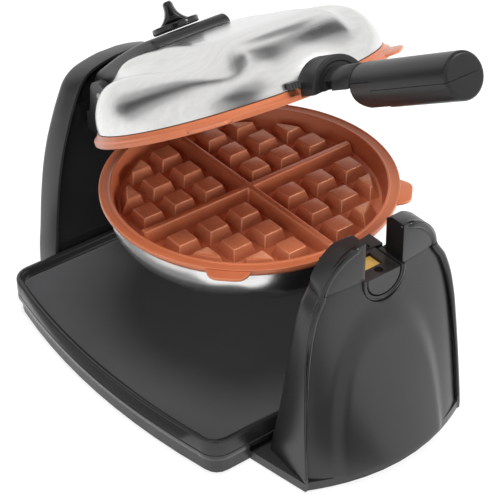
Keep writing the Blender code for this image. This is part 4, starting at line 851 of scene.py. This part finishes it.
def grid_piece(name):
    floor, under = -CAVITY_DEPTH, -CAVITY_DEPTH - GRID_WALL
    foot = CAVITY - 0.0025
    section = [(0.0004, floor), (foot - 0.001, floor), (CAVITY, -MATING), (0.0978, -MATING),
               (0.0984, -MATING - 0.0007), (0.1032, -MATING - 0.0007), (0.1038, -MATING),
               (RIM, -MATING), (RIM, -0.0040), (0.1024, -0.0052), (0.1015, -0.0078), (0.0985, -0.0078),
               (foot + GRID_WALL, under), (0.0004, under)]
    rounded = filleted(section, 0.0010, 4, closed=False)
    pan = turned(name, rounded, 168, smooth=60.0)
    rise = -CAVITY_DEPTH + CROSS_HEIGHT
    slope = CROSS_BASE - CROSS_TOP
    cross = block("cross", 0.0, 0.0, CROSS_BASE, CROSS_LENGTH, slope, floor - 0.0008, rise)
    boolean(cross, block("cross_other", 0.0, 0.0, CROSS_LENGTH, CROSS_BASE, slope, floor - 0.0008, rise),
            "UNION")
    soften(cross, 0.0012, 3)
    parts = [pan, stud_pieces(), cross]
    for degrees in (-45.0, 45.0):
        reach, root = RIM + TAB_REACH, RIM - TAB_REACH * 0.9
        tip = TAB_HALF * TAB_TIP
        outline = filleted([(-TAB_HALF, -root), (-tip, -reach), (tip, -reach), (TAB_HALF, -root)], 0.006, 6)
        top = -MATING - 0.0012
        tab = soften(slab("tab", outline, "Z", top - TAB_THICK, top), 0.0007, 3)
        parts.append(spin(tab, degrees, "Z"))
    return merged(name, parts)


for label, body, upper in HALVES:
    grid = place_half(grid_piece(label + "_grid_skin"), upper)
    dress(grid, "copper_ceramic", body, "copper_ceramic", label + "_grid")

# %% [markdown]
# ## Hinge arm and dial
# A broad arm reaches over the upper shell from the hinge. The browning dial stands on it: a
# round skirt with a pinch bar, whose hollow flanks flare out to the skirt.

# %% Hinge arm
HINGE_Y, HINGE_Z, BARREL, PIN = 0.128, 0.021, 0.0185, 0.0035
ARM_HALF, ARM_FRONT, ARM_FRONT_TOP, ARM_BACK_TOP = 0.032, 0.036, 0.0553, 0.0407
DIAL_Y, DIAL_R, DIAL_SKIRT, DIAL_HEIGHT, DIAL_TURN = 0.057, 0.0170, 0.0055, 0.0205, 30.0


def arm_top(y):
    run = HINGE_Y - BARREL * 0.2 - ARM_FRONT
    return ARM_FRONT_TOP + (ARM_BACK_TOP - ARM_FRONT_TOP) * max(0.0, (y - ARM_FRONT) / run) ** 1.6


def arm_piece():
    back_start = HINGE_Y - BARREL * 0.2
    side = [(ARM_FRONT, ARM_FRONT_TOP - 0.0043), (ARM_FRONT + 0.0043, ARM_FRONT_TOP)]
    for k in range(1, 12):
        y = ARM_FRONT + (back_start - 0.008 - ARM_FRONT) * k / 11
        side.append((y, arm_top(y)))
    for degrees in range(70, -151, -10):
        angle = math.radians(degrees)
        side.append((HINGE_Y + BARREL * math.cos(angle), HINGE_Z + BARREL * math.sin(angle)))
    side += [(HINGE_Y - BARREL - 0.0085, HINGE_Z + 0.0075), (HINGE_Y - BARREL - 0.0255, 0.038),
             (ARM_FRONT, 0.0454)]
    arm = slab("hinge_arm_skin", side, "X", -ARM_HALF, ARM_HALF)
    soften(arm, 0.0028, 4, 38.0)
    rings = [[(x, y, -z) for x, y, z in shell_ring(k / 52, -GAP, 120)] for k in range(53)]
    roof = [[(x, y, 0.004) for x, y, z in rings[0]]] + rings
    boolean(arm, ring_stack("shell_space", roof))
    boolean(arm, rod_piece("rim_space", RIM + GAP, -0.02, JOINT + GAP, "Z", 120))
    boolean(arm, shift(rod_piece("bore", PIN + GAP, -0.05, 0.05, "X", 32), (0.0, HINGE_Y, HINGE_Z)))
    tilt = math.atan2(arm_top(DIAL_Y + DIAL_R) - arm_top(DIAL_Y - DIAL_R), 2 * DIAL_R)
    seat = rod_piece("seat", DIAL_R + 0.0006, 0.0, 0.02, "Z", 72)
    hole = rod_piece("hole", 0.0036, -0.0026, 0.01, "Z", 32)
    for tool in (seat, hole):
        spin(tool, math.degrees(tilt), "X")
        boolean(arm, shift(tool, (0.0, DIAL_Y, arm_top(DIAL_Y))))
    arm.data.shade_smooth()
    arm.data.set_sharp_from_angle(angle=math.radians(45.0))
    return arm, tilt


arm, dial_tilt = arm_piece()
shift(arm, AXIS)
arm.data.transform(open_lid)
dress(arm, "charcoal", "lid", "black_plastic", "hinge_arm")

# %% Browning dial
def rounded_block_ring(half_x, half_y, z, power=3.6, segments=72):
    ring = []
    for i in range(segments):
        angle = 2 * math.pi * i / segments
        c, s = math.cos(angle), math.sin(angle)
        x = math.copysign(abs(c) ** (2 / power), c) * half_x
        y = math.copysign(abs(s) ** (2 / power), s) * half_y
        ring.append((x, y, z))
    return ring


def dial_piece():
    skirt = turned("browning_dial_skin", filleted([(0.0004, 0.0006), (DIAL_R, 0.0006), (DIAL_R, DIAL_SKIRT),
                                                   (0.0004, DIAL_SKIRT + 0.0006)], 0.0014, 4, closed=False), 96)
    rings = []
    for k in range(25):
        share = k / 24
        half = 0.0038 + 0.0088 * (1 - share) ** 3
        reach = math.sqrt(DIAL_R ** 2 - half ** 2) * (1 - 0.14 * share)
        cap = 0.0013 * max(0.0, (share - 0.86) / 0.14) ** 2
        rings.append(rounded_block_ring(half - cap, reach - cap,
                                        DIAL_SKIRT - 0.0012 + (DIAL_HEIGHT - DIAL_SKIRT + 0.0012) * share))
    return merged("browning_dial_skin", [skirt, ring_stack("fin", rings, 50.0)])


dial = dial_piece()
spin(dial, -DIAL_TURN, "Z")
spin(dial, math.degrees(dial_tilt), "X")
shift(dial, AXIS + Vector((0.0, DIAL_Y, arm_top(DIAL_Y))))
dial.data.transform(open_lid)
dress(dial, "gloss_black", "dial", "gloss_plastic", "browning_dial")

# %% [markdown]
# ## Necks
# Each half has a half-round neck with a thick flange on the shell. The two necks turn
# together in the saddle. The lower one carries the amber lens and two cross-recess screws,
# the upper one the tongue that the folding handle turns on.

# %% Necks, lens and screws
NECK_R, NECK_FLAT, NECK_END = 0.0142, 0.0020, 0.1432
FLANGE_R, FLANGE_ROOT, FLANGE_FAR = 0.0215, 0.0920, 0.1172
LENS_HALF, LENS_NEAR, LENS_FAR, LENS_SUNK, LENS_THICK = 0.0072, 0.1200, 0.1325, 0.0042, 0.0022
TONGUE_HALF, TONGUE_R, FOLD_Y = 0.0072, 0.0100, 0.160
SCREWS = ((0.0095, 0.1130), (0.0, 0.1375))


def neck_piece(name, flat, upper):
    journal = turned("journal", [(NECK_R, -NECK_END + 0.0008), (NECK_R, -FLANGE_FAR)][::-1]
                     + [(NECK_R - 0.0008, -NECK_END)], 96, "Y")
    flange = turned(name, filleted([(0.0004, -FLANGE_ROOT), (FLANGE_R, -FLANGE_ROOT), (FLANGE_R, -FLANGE_FAR),
                                    (0.0174, -FLANGE_FAR), (0.0170, -FLANGE_FAR + 0.0007),
                                    (0.0004, -FLANGE_FAR + 0.0007)], 0.0011, 4, closed=False), 96, "Y")
    boolean(flange, journal, "UNION")
    boolean(flange, box_piece("above", (-0.05, -0.2, flat), (0.05, 0.0, 0.05)))
    rings = [shell_ring(k / 52, -GAP, 120) for k in range(53)]
    boolean(flange, ring_stack("shell_space", [[(x, y, 0.004) for x, y, z in rings[0]]] + rings))
    boolean(flange, rod_piece("rim_space", RIM + GAP, -JOINT - GAP, 0.02, "Z", 120))
    if upper:
        for sign in (-1, 1):
            boolean(flange, box_piece("window", (min(sign * 0.0105, sign * 0.02), -0.1262, -0.0078),
                                      (max(sign * 0.0105, sign * 0.02), -0.1186, -0.0022)))
    flange.data.shade_smooth()
    flange.data.set_sharp_from_angle(angle=math.radians(40.0))
    return flange


lower_neck = neck_piece("lower_neck_skin", NECK_FLAT, False)
recess = box_piece("recess", (-LENS_HALF - GAP, -LENS_FAR - GAP, NECK_FLAT - LENS_SUNK - GAP),
                   (LENS_HALF + GAP, -LENS_NEAR + GAP, 0.01))
boolean(lower_neck, recess)
for x, y in SCREWS:
    sink = rod_piece("sink", 0.0027 + GAP, NECK_FLAT - 0.0012, 0.01, "Z", 32)
    boolean(lower_neck, shift(sink, (x, -y, 0.0)))
lower_neck.data.shade_smooth()
lower_neck.data.set_sharp_from_angle(angle=math.radians(40.0))
dress(place_half(lower_neck, False), "charcoal", "iron", "black_plastic", "lower_neck")

lens = box_piece("ready_lens_skin", (-LENS_HALF, -LENS_FAR, NECK_FLAT - LENS_SUNK),
                 (LENS_HALF, -LENS_NEAR, NECK_FLAT - LENS_SUNK + LENS_THICK))
dress(place_half(soften(lens, 0.0004, 2), False), "amber_lens", "iron", "amber_lens", "ready_lens")

for number, (x, y) in enumerate(SCREWS, start=1):
    top = NECK_FLAT - GAP
    head = turned("neck_screw_%d_skin" % number,
                  filleted([(0.0002, top - 0.0009), (0.0027, top - 0.0009), (0.0026, top - 0.0003),
                            (0.0002, top)], 0.0003, 3, closed=False), 40)
    for long_x, long_y in ((0.0015, 0.0003), (0.0003, 0.0015)):
        boolean(head, box_piece("slot", (-long_x, -long_y, top - 0.0006), (long_x, long_y, top + 0.001)))
    spin(head, 25.0 * number, "Z")
    head.data.shade_smooth()
    head.data.set_sharp_from_angle(angle=math.radians(40.0))
    dress(place_half(shift(head, (x, -y, 0.0)), False), "black_screw", "iron", "dark_steel",
          "neck_screw_%d" % number)

upper_neck = neck_piece("upper_neck_skin", -NECK_FLAT - GAP, True)
tongue = box_piece("tongue", (-TONGUE_HALF, -FOLD_Y, -TONGUE_R), (TONGUE_HALF, -NECK_END - 0.0006, 0.004))
boolean(tongue, box_piece("root", (-TONGUE_HALF, -FOLD_Y, -TONGUE_R), (TONGUE_HALF, -NECK_END + 0.0006, -0.004)),
        "UNION")
barrel = shift(rod_piece("barrel", TONGUE_R, -TONGUE_HALF, TONGUE_HALF, "X", 64), (0.0, -FOLD_Y, 0.0))
boolean(tongue, barrel, "UNION")
boolean(tongue, shift(rod_piece("bore", PIN + GAP, -0.02, 0.02, "X", 32), (0.0, -FOLD_Y, 0.0)))
upper_neck = merged("upper_neck_skin", [upper_neck, tongue])
dress(place_half(upper_neck, True), "charcoal_handle", "lid", "black_plastic", "upper_neck")

# %% [markdown]
# ## Folding handle
# Two half shells meet along a stepped seam, which sits higher round the knuckle. The long
# end has a rounded rim and a seam across its flat face.

# %% Folding handle
GRIP_R, GRIP_START, GRIP_END, KNUCKLE_R, KNUCKLE_END = 0.0145, 0.1440, 0.2383, 0.0142, 0.1655
SEAM_STEP, SEAM = 0.0052, 0.00035


def grip_whole(name):
    profile = [(0.0004, -GRIP_START), (GRIP_R, -GRIP_START), (GRIP_R, -GRIP_END), (0.0004, -GRIP_END)]
    section = filleted(profile, 0.0028, 6, closed=False)
    return turned(name, section, 96, "Y")


def grip_half(name, upper):
    """One half of the grip; the lid is drawn closed, so up is away from the lower half."""
    whole = grip_whole(name)
    far, wide = -GRIP_END - 0.01, 0.03
    if upper:
        boolean(whole, box_piece("under", (-wide, far, -wide), (wide, 0.0, SEAM / 2)))
        boolean(whole, box_piece("step", (-wide, -KNUCKLE_END, -wide), (wide, 0.0, SEAM_STEP + SEAM / 2)))
    else:
        boolean(whole, box_piece("over", (-wide, far, -SEAM / 2), (wide, -KNUCKLE_END - SEAM, wide)))
        boolean(whole, box_piece("over_step", (-wide, -KNUCKLE_END - SEAM * 2, SEAM_STEP - SEAM / 2),
                                 (wide, 0.0, wide)))
        corner = box_piece("corner", (-wide, -FOLD_Y, -wide), (wide, -GRIP_START + 0.01, 0.0))
        boolean(corner, shift(rod_piece("keep", KNUCKLE_R, -0.04, 0.04, "X", 96), (0.0, -FOLD_Y, 0.0)))
        boolean(whole, corner)
        ring = rod_piece("seam_ring", GRIP_R + 0.002, -KNUCKLE_END - SEAM, -KNUCKLE_END, "Y", 96)
        boolean(ring, rod_piece("seam_core", GRIP_R - 0.0009, -KNUCKLE_END - 0.01, -KNUCKLE_END + 0.01, "Y", 96))
        boolean(whole, ring)
    slot_half, reach = TONGUE_HALF + 0.0006, FOLD_Y + TONGUE_R + 0.0006
    boolean(whole, box_piece("slot", (-slot_half, -reach, -0.02), (slot_half, 0.0, TONGUE_R + 0.0006)))
    boolean(whole, shift(rod_piece("bore", PIN + GAP, -0.0140, 0.0140, "X", 32), (0.0, -FOLD_Y, 0.0)))
    whole.data.shade_smooth()
    whole.data.set_sharp_from_angle(angle=math.radians(40.0))
    return whole


for name, upper in (("grip_upper", True), ("grip_lower", False)):
    half = grip_half(name + "_skin", upper)
    shift(half, AXIS)
    half.data.transform(open_lid)
    dress(half, "charcoal_handle", "handle", "black_plastic", name)

# %% [markdown]
# ## Front tower
# The tower is a curved shell in two parts. A frame makes the rear wall and both sides, and
# a bowed face closes it at the front, with a broad raised arch. A rounded gloss lip runs
# between them, thin at the foot and thick near the top.

# %% Front tower sections
PLASTIC_WALL = 0.0026
FOOT_Z, SEAM_Z = 0.0093, 0.1490
FRONT_HALF = 0.0700
WIDTH_PAIRS = ((0.0, 1.0), (0.25, 0.982), (0.5, 0.955), (0.66, 0.93), (0.8, 0.885), (0.91, 0.815), (1.0, 0.71))
REAR_SEAM, REAR_FOOT, CENTRE_SEAM, CENTRE_FOOT = 0.1203, 0.1040, 0.1430, 0.1665
EDGE_SEAM, EDGE_FOOT, REAR_TAPER = 0.1385, 0.1500, 0.0035
ARCH_HALF, ARCH_TOP, ARCH_FOOT, ARCH_SIDE, ARCH_RISE = 0.0465, 0.126, 0.009, -0.003, 0.0040


def curve(pairs, share):
    """A smooth reading of a table of (share, value) pairs."""
    for k, ((a, _), (b, _)) in enumerate(zip(pairs, pairs[1:])):
        if share <= b:
            values = [(pairs[max(k - 1, 0)][1],), (pairs[k][1],), (pairs[k + 1][1],),
                      (pairs[min(k + 2, len(pairs) - 1)][1],)]
            return through([values[0], values[1], values[2], values[3]], (1 + (share - a) / (b - a)) / 3)[0]
    return pairs[-1][1]


def front_section(share):
    half = FRONT_HALF * curve(WIDTH_PAIRS, share)
    back = min(1.0, (1 - (1 - share) ** 2) * 1.08)
    rear = REAR_FOOT + (REAR_SEAM - REAR_FOOT) * back
    edge = EDGE_FOOT + (EDGE_SEAM - EDGE_FOOT) * share
    centre = CENTRE_SEAM + (CENTRE_FOOT - CENTRE_SEAM) * (1 - share) ** 1.35
    return half, rear, edge, centre


def arch(x, z):
    """The raised arch on the face, one at its middle and none outside."""
    across = abs(x - ARCH_SIDE) / ARCH_HALF
    up = max(0.0, z - ARCH_FOOT) / (ARCH_TOP - ARCH_FOOT)
    norm = (across ** 2.4 + up ** 2.4) ** (1 / 2.4)
    return 1 - ease(0.84, 1.06, norm)


def frame_ring(share, z):
    half, rear, edge, centre = front_section(share)
    back_half = half - REAR_TAPER
    outer_corner = filleted([(-half, -edge), (-back_half, -rear), (0.0, -rear)], 0.006, 8, closed=False)[:-1]
    wall = PLASTIC_WALL
    inner_corner = filleted([(-half + wall, -edge), (-back_half + wall, -rear - wall), (0.0, -rear - wall)],
                            0.0034, 8, closed=False)[:-1]
    outer = outer_corner + [(-x, y) for x, y in reversed(outer_corner)]
    inner = inner_corner + [(-x, y) for x, y in reversed(inner_corner)]
    return [(x, y, z) for x, y in outer + inner[::-1]]


def face_ring(share, z, columns=64):
    half, rear, edge, centre = front_section(share)
    face_half = half - PLASTIC_WALL - 0.0008
    front, back = [], []
    for k in range(columns + 1):
        u = math.sin((k / columns - 0.5) * math.pi)
        bulge = (centre - edge) * u * u + 0.0022 * abs(u) ** 10
        x = face_half * u
        front.append((x, -centre + bulge - ARCH_RISE * arch(x, z)))
        back.append((x * (1 - PLASTIC_WALL / face_half), -centre + bulge + PLASTIC_WALL))
    lip = edge - 0.0082
    front = [(-face_half + 0.0006, -lip)] + front + [(face_half - 0.0006, -lip)]
    back = [(PLASTIC_WALL - face_half, -lip)] + back + [(face_half - PLASTIC_WALL, -lip)]
    return [(x, y, z) for x, y in front + back[::-1]]


# %% Front tower shells
SADDLE_R = 0.0178
LEVELS = 48
levels = [k / LEVELS for k in range(LEVELS + 1)]
notch_r = SADDLE_R + GAP
for name, ring_at in (("front_tower_frame", frame_ring), ("front_tower_face", face_ring)):
    rings = [ring_at(share, FOOT_Z + (SEAM_Z - FOOT_Z) * share) for share in levels]
    shell = ring_stack(name + "_skin", rings, 45.0)
    boolean(shell, shift(rod_piece("notch", notch_r, -0.19, -0.10, "Y", 96), AXIS))
    soften(shell, 0.0005, 2, 60.0)
    dress(shell, "charcoal", "base", "black_plastic", name)

# %% [markdown]
# The lip is a bead along the frame's front edge. It swells from a thin line at the foot to
# its full width at the seam, and the caps carry it on to the slot.

# %% Gloss lip of the front tower
LIP_FOOT, LIP_TOP = 0.0009, 0.0028


def lip_path(sign):
    points, radii = [], []
    for share in levels[1:]:
        half, rear, edge, centre = front_section(share)
        radius = LIP_FOOT + (LIP_TOP - LIP_FOOT) * ease(0.2, 0.95, share)
        points.append((sign * (half - 0.0008 - radius * 0.8), -edge + radius * 0.25,
                       FOOT_Z + (SEAM_Z - FOOT_Z) * share))
        radii.append(radius)
    return points, radii


for side_name, sign in (("left", -1), ("right", 1)):
    points, radii = lip_path(sign)
    dress(swept("front_lip_" + side_name, points, radii), "gloss_black", "base", "black_plastic")

# %% Saddle
saddle_front, saddle_back = -CENTRE_SEAM - 0.0010, -REAR_SEAM
bore_r = NECK_R + 0.0006
ring_section = [(bore_r, saddle_back), (SADDLE_R, saddle_back), (SADDLE_R, saddle_front + 0.0004),
                (SADDLE_R - 0.0006, saddle_front), (SADDLE_R - 0.0014, saddle_front),
                (SADDLE_R - 0.0018, saddle_front + 0.0006), (bore_r + 0.0003, saddle_front + 0.0006),
                (bore_r, saddle_front + 0.0009)]
saddle = turned("neck_saddle_skin", ring_section, 96, "Y", closed=True)
boolean(saddle, box_piece("above", (-0.05, -0.2, 0.0030 - GAP), (0.05, 0.0, 0.05)))
saddle.data.shade_smooth()
saddle.data.set_sharp_from_angle(angle=math.radians(40.0))
dress(shift(saddle, AXIS), "charcoal", "base", "black_plastic", "neck_saddle")

# %% [markdown]
# Above the seam a cap stands on each side of the slot. It follows the outline of the tower
# round to the slot, with the same lip between its side and its front. Its walls that face the
# slot are near black: painted shade in the slot.

# %% Caps
SLOT_HALF, CAP_HEIGHT, CAP_BASE = 0.0160, 0.0290, 0.0030 + GAP
CAP_WIDTH = FRONT_HALF * 0.71 - SLOT_HALF
CAP_BACK, CAP_FACE, CAP_FALL = -0.1255, -0.1424, 0.0045
CAP_SHARES = [(1.0, 0.0), (0.965, 0.17), (0.90, 0.345), (0.80, 0.525), (0.66, 0.70), (0.504, 0.828),
              (0.33, 0.92), (0.16, 0.975), (0.0, 1.0)]


def face_at(x):
    """How far forward the bowed face stands at the seam."""
    half, rear, edge, centre = front_section(1.0)
    return -centre + (centre - edge) * (x / half) ** 2


def seam_plan():
    """Plan of the tower at the seam: bowed in front, rounded behind."""
    half, rear, edge, centre = front_section(1.0)
    left = filleted([(-half, -edge), (-half + REAR_TAPER, -rear), (0.0, -rear)], 0.006, 8, closed=False)[:-1]
    front = [(half * k / 24, face_at(half * k / 24)) for k in range(24, -25, -1)]
    return left + [(-x, y) for x, y in reversed(left)][:-1] + front[:-1]


def cap_outline(sign):
    """From the slot's foot round the outer edge to the slot's top."""
    points = [(sign * SLOT_HALF, CAP_BASE)]
    for k in range(29):
        across, up_share = through(CAP_SHARES, k / 28)
        points.append((sign * (SLOT_HALF + CAP_WIDTH * across), CAP_BASE + CAP_HEIGHT * up_share))
    return points


for side_name, sign in (("left", -1), ("right", 1)):
    outline = cap_outline(sign)
    cap = slab("cap_%s_skin" % side_name, outline, "Y", CAP_FACE, CAP_BACK)
    plan = slab("plan", seam_plan(), "Z", CAP_BASE - 0.001, CAP_BASE + CAP_HEIGHT + 0.001)
    boolean(cap, plan, "INTERSECT")
    top = CAP_BASE + CAP_HEIGHT
    fall = [(CAP_BACK - CAP_FALL, top), (CAP_BACK + 0.001, top - CAP_FALL * 0.8), (CAP_BACK + 0.001, top + 0.01),
            (CAP_BACK - CAP_FALL, top + 0.01)]
    boolean(cap, slab("fall", fall, "X", -0.06, 0.06))
    soften(cap, 0.0010, 3, 40.0)
    dress(shift(cap, AXIS), "charcoal", "base", "black_plastic", "cap_" + side_name)
    # The walls that face the slot take the near-black finish: painted shade in the slot.
    second_finish(cap, "slot_shade_black", lambda centre, normal: normal.x * sign < -0.9)
    path = []
    for x, z in outline[1:]:
        inward = 0.0008 + LIP_TOP * 0.8 * min(1.0, (abs(x) - SLOT_HALF) / 0.006)
        path.append((x - sign * inward, face_at(x) + LIP_TOP * 0.25 + 0.0006, z - 0.0012 * ease(0.0, 0.012, z - CAP_BASE)))
    thickness = [LIP_TOP * (0.3 + 0.8 * ease(0.0, 0.008, abs(x) - SLOT_HALF)) for x, _, _ in path]
    lip = swept("cap_lip_" + side_name, path, thickness)
    dress(shift(lip, AXIS), "gloss_black", "base", "black_plastic")

# %% [markdown]
# ## Rear tower
# A tall arch: an outer band with a rounded back, and a polished panel set into it. The
# band's inner front edge is rounded, so it shows as a thin bright line.

# %% Rear tower
REAR_HALF, REAR_TOP_Z, REAR_DROP = 0.0765, 0.1830, 0.0083
BAND_FRONT, BAND_BACK, BACK_ROUND = 0.1495, 0.1780, 0.0070
REAR_SHARES = [(1.0, 0.0), (0.988, 0.1), (0.96, 0.2), (0.925, 0.34), (0.87, 0.5), (0.80, 0.635),
               (0.71, 0.755), (0.625, 0.85), (0.545, 0.92), (0.43, 0.965), (0.27, 0.988), (0.1, 1.0),
               (0.0, 1.0)]


def rear_ring(inset, y, end):
    """The arch at one depth; its top falls towards the back and is level from end on."""
    top = REAR_TOP_Z - REAR_DROP * min(1.0, max(0.0, (y - BAND_FRONT) / (end - BAND_FRONT)))
    right_side = []
    for k in range(60):
        across, up_share = through(REAR_SHARES, k / 60)
        right_side.append((REAR_HALF * across, FOOT_Z + (top - FOOT_Z) * min(1.0, up_share)))
    whole = right_side + [(-x, z) for x, z in reversed(right_side)]
    ring = inset_outline(whole, inset)
    ring[0], ring[-1] = (ring[0][0], FOOT_Z), (ring[-1][0], FOOT_Z)
    return [(x, y, z) for x, z in ring]


wall = PLASTIC_WALL
outer_end, inner_end = BAND_BACK - BACK_ROUND, BAND_BACK - BACK_ROUND - wall
outside = [(BACK_ROUND, BAND_BACK), (BACK_ROUND * 0.3, BAND_BACK - BACK_ROUND * 0.28),
           (BACK_ROUND * 0.07, BAND_BACK - BACK_ROUND * 0.65), (0.0, outer_end),
           (0.0, BAND_FRONT + 0.0009), (0.0003, BAND_FRONT + 0.0003), (0.0009, BAND_FRONT)]
inside = [(wall - 0.0009, BAND_FRONT), (wall - 0.0003, BAND_FRONT + 0.0003), (wall, BAND_FRONT + 0.0009),
          (wall, inner_end), (wall + BACK_ROUND, BAND_BACK - wall)]
rear_shell = ring_stack("rear_tower_skin", [rear_ring(inset, y, outer_end) for inset, y in outside]
                        + [rear_ring(inset, y, inner_end) for inset, y in inside], 45.0)
boolean(rear_shell, shift(rod_piece("inlet_hole", 0.0068, 0.17, 0.19, "Y", 48), (0.0, 0.0, 0.030)))
rear_shell.data.shade_smooth()
rear_shell.data.set_sharp_from_angle(angle=math.radians(40.0))
dress(rear_shell, "charcoal", "base", "black_plastic", "rear_tower_shell")
inner_edge = rear_ring(wall - 0.0002, BAND_FRONT + 0.0006, inner_end)
bead = swept("rear_bead", inner_edge, [0.0006] * len(inner_edge))
dress(bead, "gloss_black", "base", "gloss_plastic")

# %% [markdown]
# ## Drip tray
# A shallow dish with a rounded rim and a skirt that hides the base. Its sides bow out most
# behind the middle.

# %% Drip tray
TRAY_HALF, TRAY_BOW, TRAY_BOW_AFT, TRAY_CORNER = 0.1264, 0.0140, 0.0124, 0.016
TRAY_FRONT_Y, TRAY_REAR_Y = -0.1035, 0.1488
TRAY_RIM_Z, TRAY_SKIRT_Z, TRAY_FLOOR_Z = 0.0320, 0.0146, 0.0240


def tray_ring(inset, z):
    middle, half_length = (TRAY_REAR_Y + TRAY_FRONT_Y) / 2, (TRAY_REAR_Y - TRAY_FRONT_Y) / 2
    front, rear = TRAY_FRONT_Y + inset, TRAY_REAR_Y - inset
    corner = max(TRAY_CORNER - inset, 0.003)

    def half_width(y):
        return TRAY_HALF - inset - TRAY_BOW * ((y - middle - TRAY_BOW_AFT) / half_length) ** 2

    def round_corner(y_edge, step):
        points = []
        for k in range(9):
            angle = math.pi / 2 * k / 8
            y = y_edge + step * corner * (1 - math.cos(angle))
            x = half_width(y_edge + step * corner) - corner * (1 - math.sin(angle))
            points.append((x, y))
        return points

    sides = [front + corner + (rear - front - 2 * corner) * k / 40 for k in range(1, 40)]
    right_side = round_corner(front, 1) + [(half_width(y), y) for y in sides] + round_corner(rear, -1)[::-1]
    return [(x, y, z) for x, y in right_side + [(-x, y) for x, y in reversed(right_side)]]


sections = [(0.012, 0.0216), (0.0024, 0.0216), (0.0024, TRAY_SKIRT_Z), (0.0004, TRAY_SKIRT_Z),
            (0.0, TRAY_SKIRT_Z + 0.0004), (0.0, 0.0188), (0.0005, 0.0192), (0.0005, 0.0196), (0.0, 0.0200),
            (0.0, TRAY_RIM_Z - 0.0016), (0.0003, TRAY_RIM_Z - 0.0006), (0.0012, TRAY_RIM_Z),
            (0.0032, TRAY_RIM_Z), (0.0042, TRAY_RIM_Z - 0.0006), (0.0046, TRAY_RIM_Z - 0.0016),
            (0.0052, TRAY_FLOOR_Z + 0.0030), (0.0062, TRAY_FLOOR_Z + 0.0010), (0.0085, TRAY_FLOOR_Z)]
tray = ring_stack("drip_tray_skin", [tray_ring(inset, z) for inset, z in sections], 45.0)
dress(tray, "tray_gloss", "tray", "tray_plastic", "drip_tray")
second_finish(tray, "tray_satin", lambda centre, normal: centre.z < TRAY_FLOOR_Z + 0.002 and normal.z > 0.3)

# %% [markdown]
# ## The rest of the solids
# The other solids already have their true shape, so they only take on their finish.

# %% Finishes of the solids that stay
PAINT = {
    "charcoal": ("base_pan", "rear_yoke", "shaft_bush", "cord_cleat_upper", "cord_cleat_lower",
                 "upper_release_button", "lower_release_button"),
    "gloss_black": ("rear_tower_panel",),
    "pad_rubber": ("foot_1", "foot_2", "foot_3", "foot_4", "cord_inlet"),
    "plain_pin": ("hinge_pin", "flip_shaft", "shaft_collar", "upper_reflector", "lower_reflector"),
    "black_screw": ("fold_pin",),
    "heater_tube": ("upper_heater", "lower_heater"),
    "element_holder": ("upper_thermostat", "lower_thermostat"),
}
for finish_name, names in PAINT.items():
    for name in names:
        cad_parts[name].data.materials[0] = finishes[finish_name]
print("painted:", sum(len(names) for names in PAINT.values()), "solids")
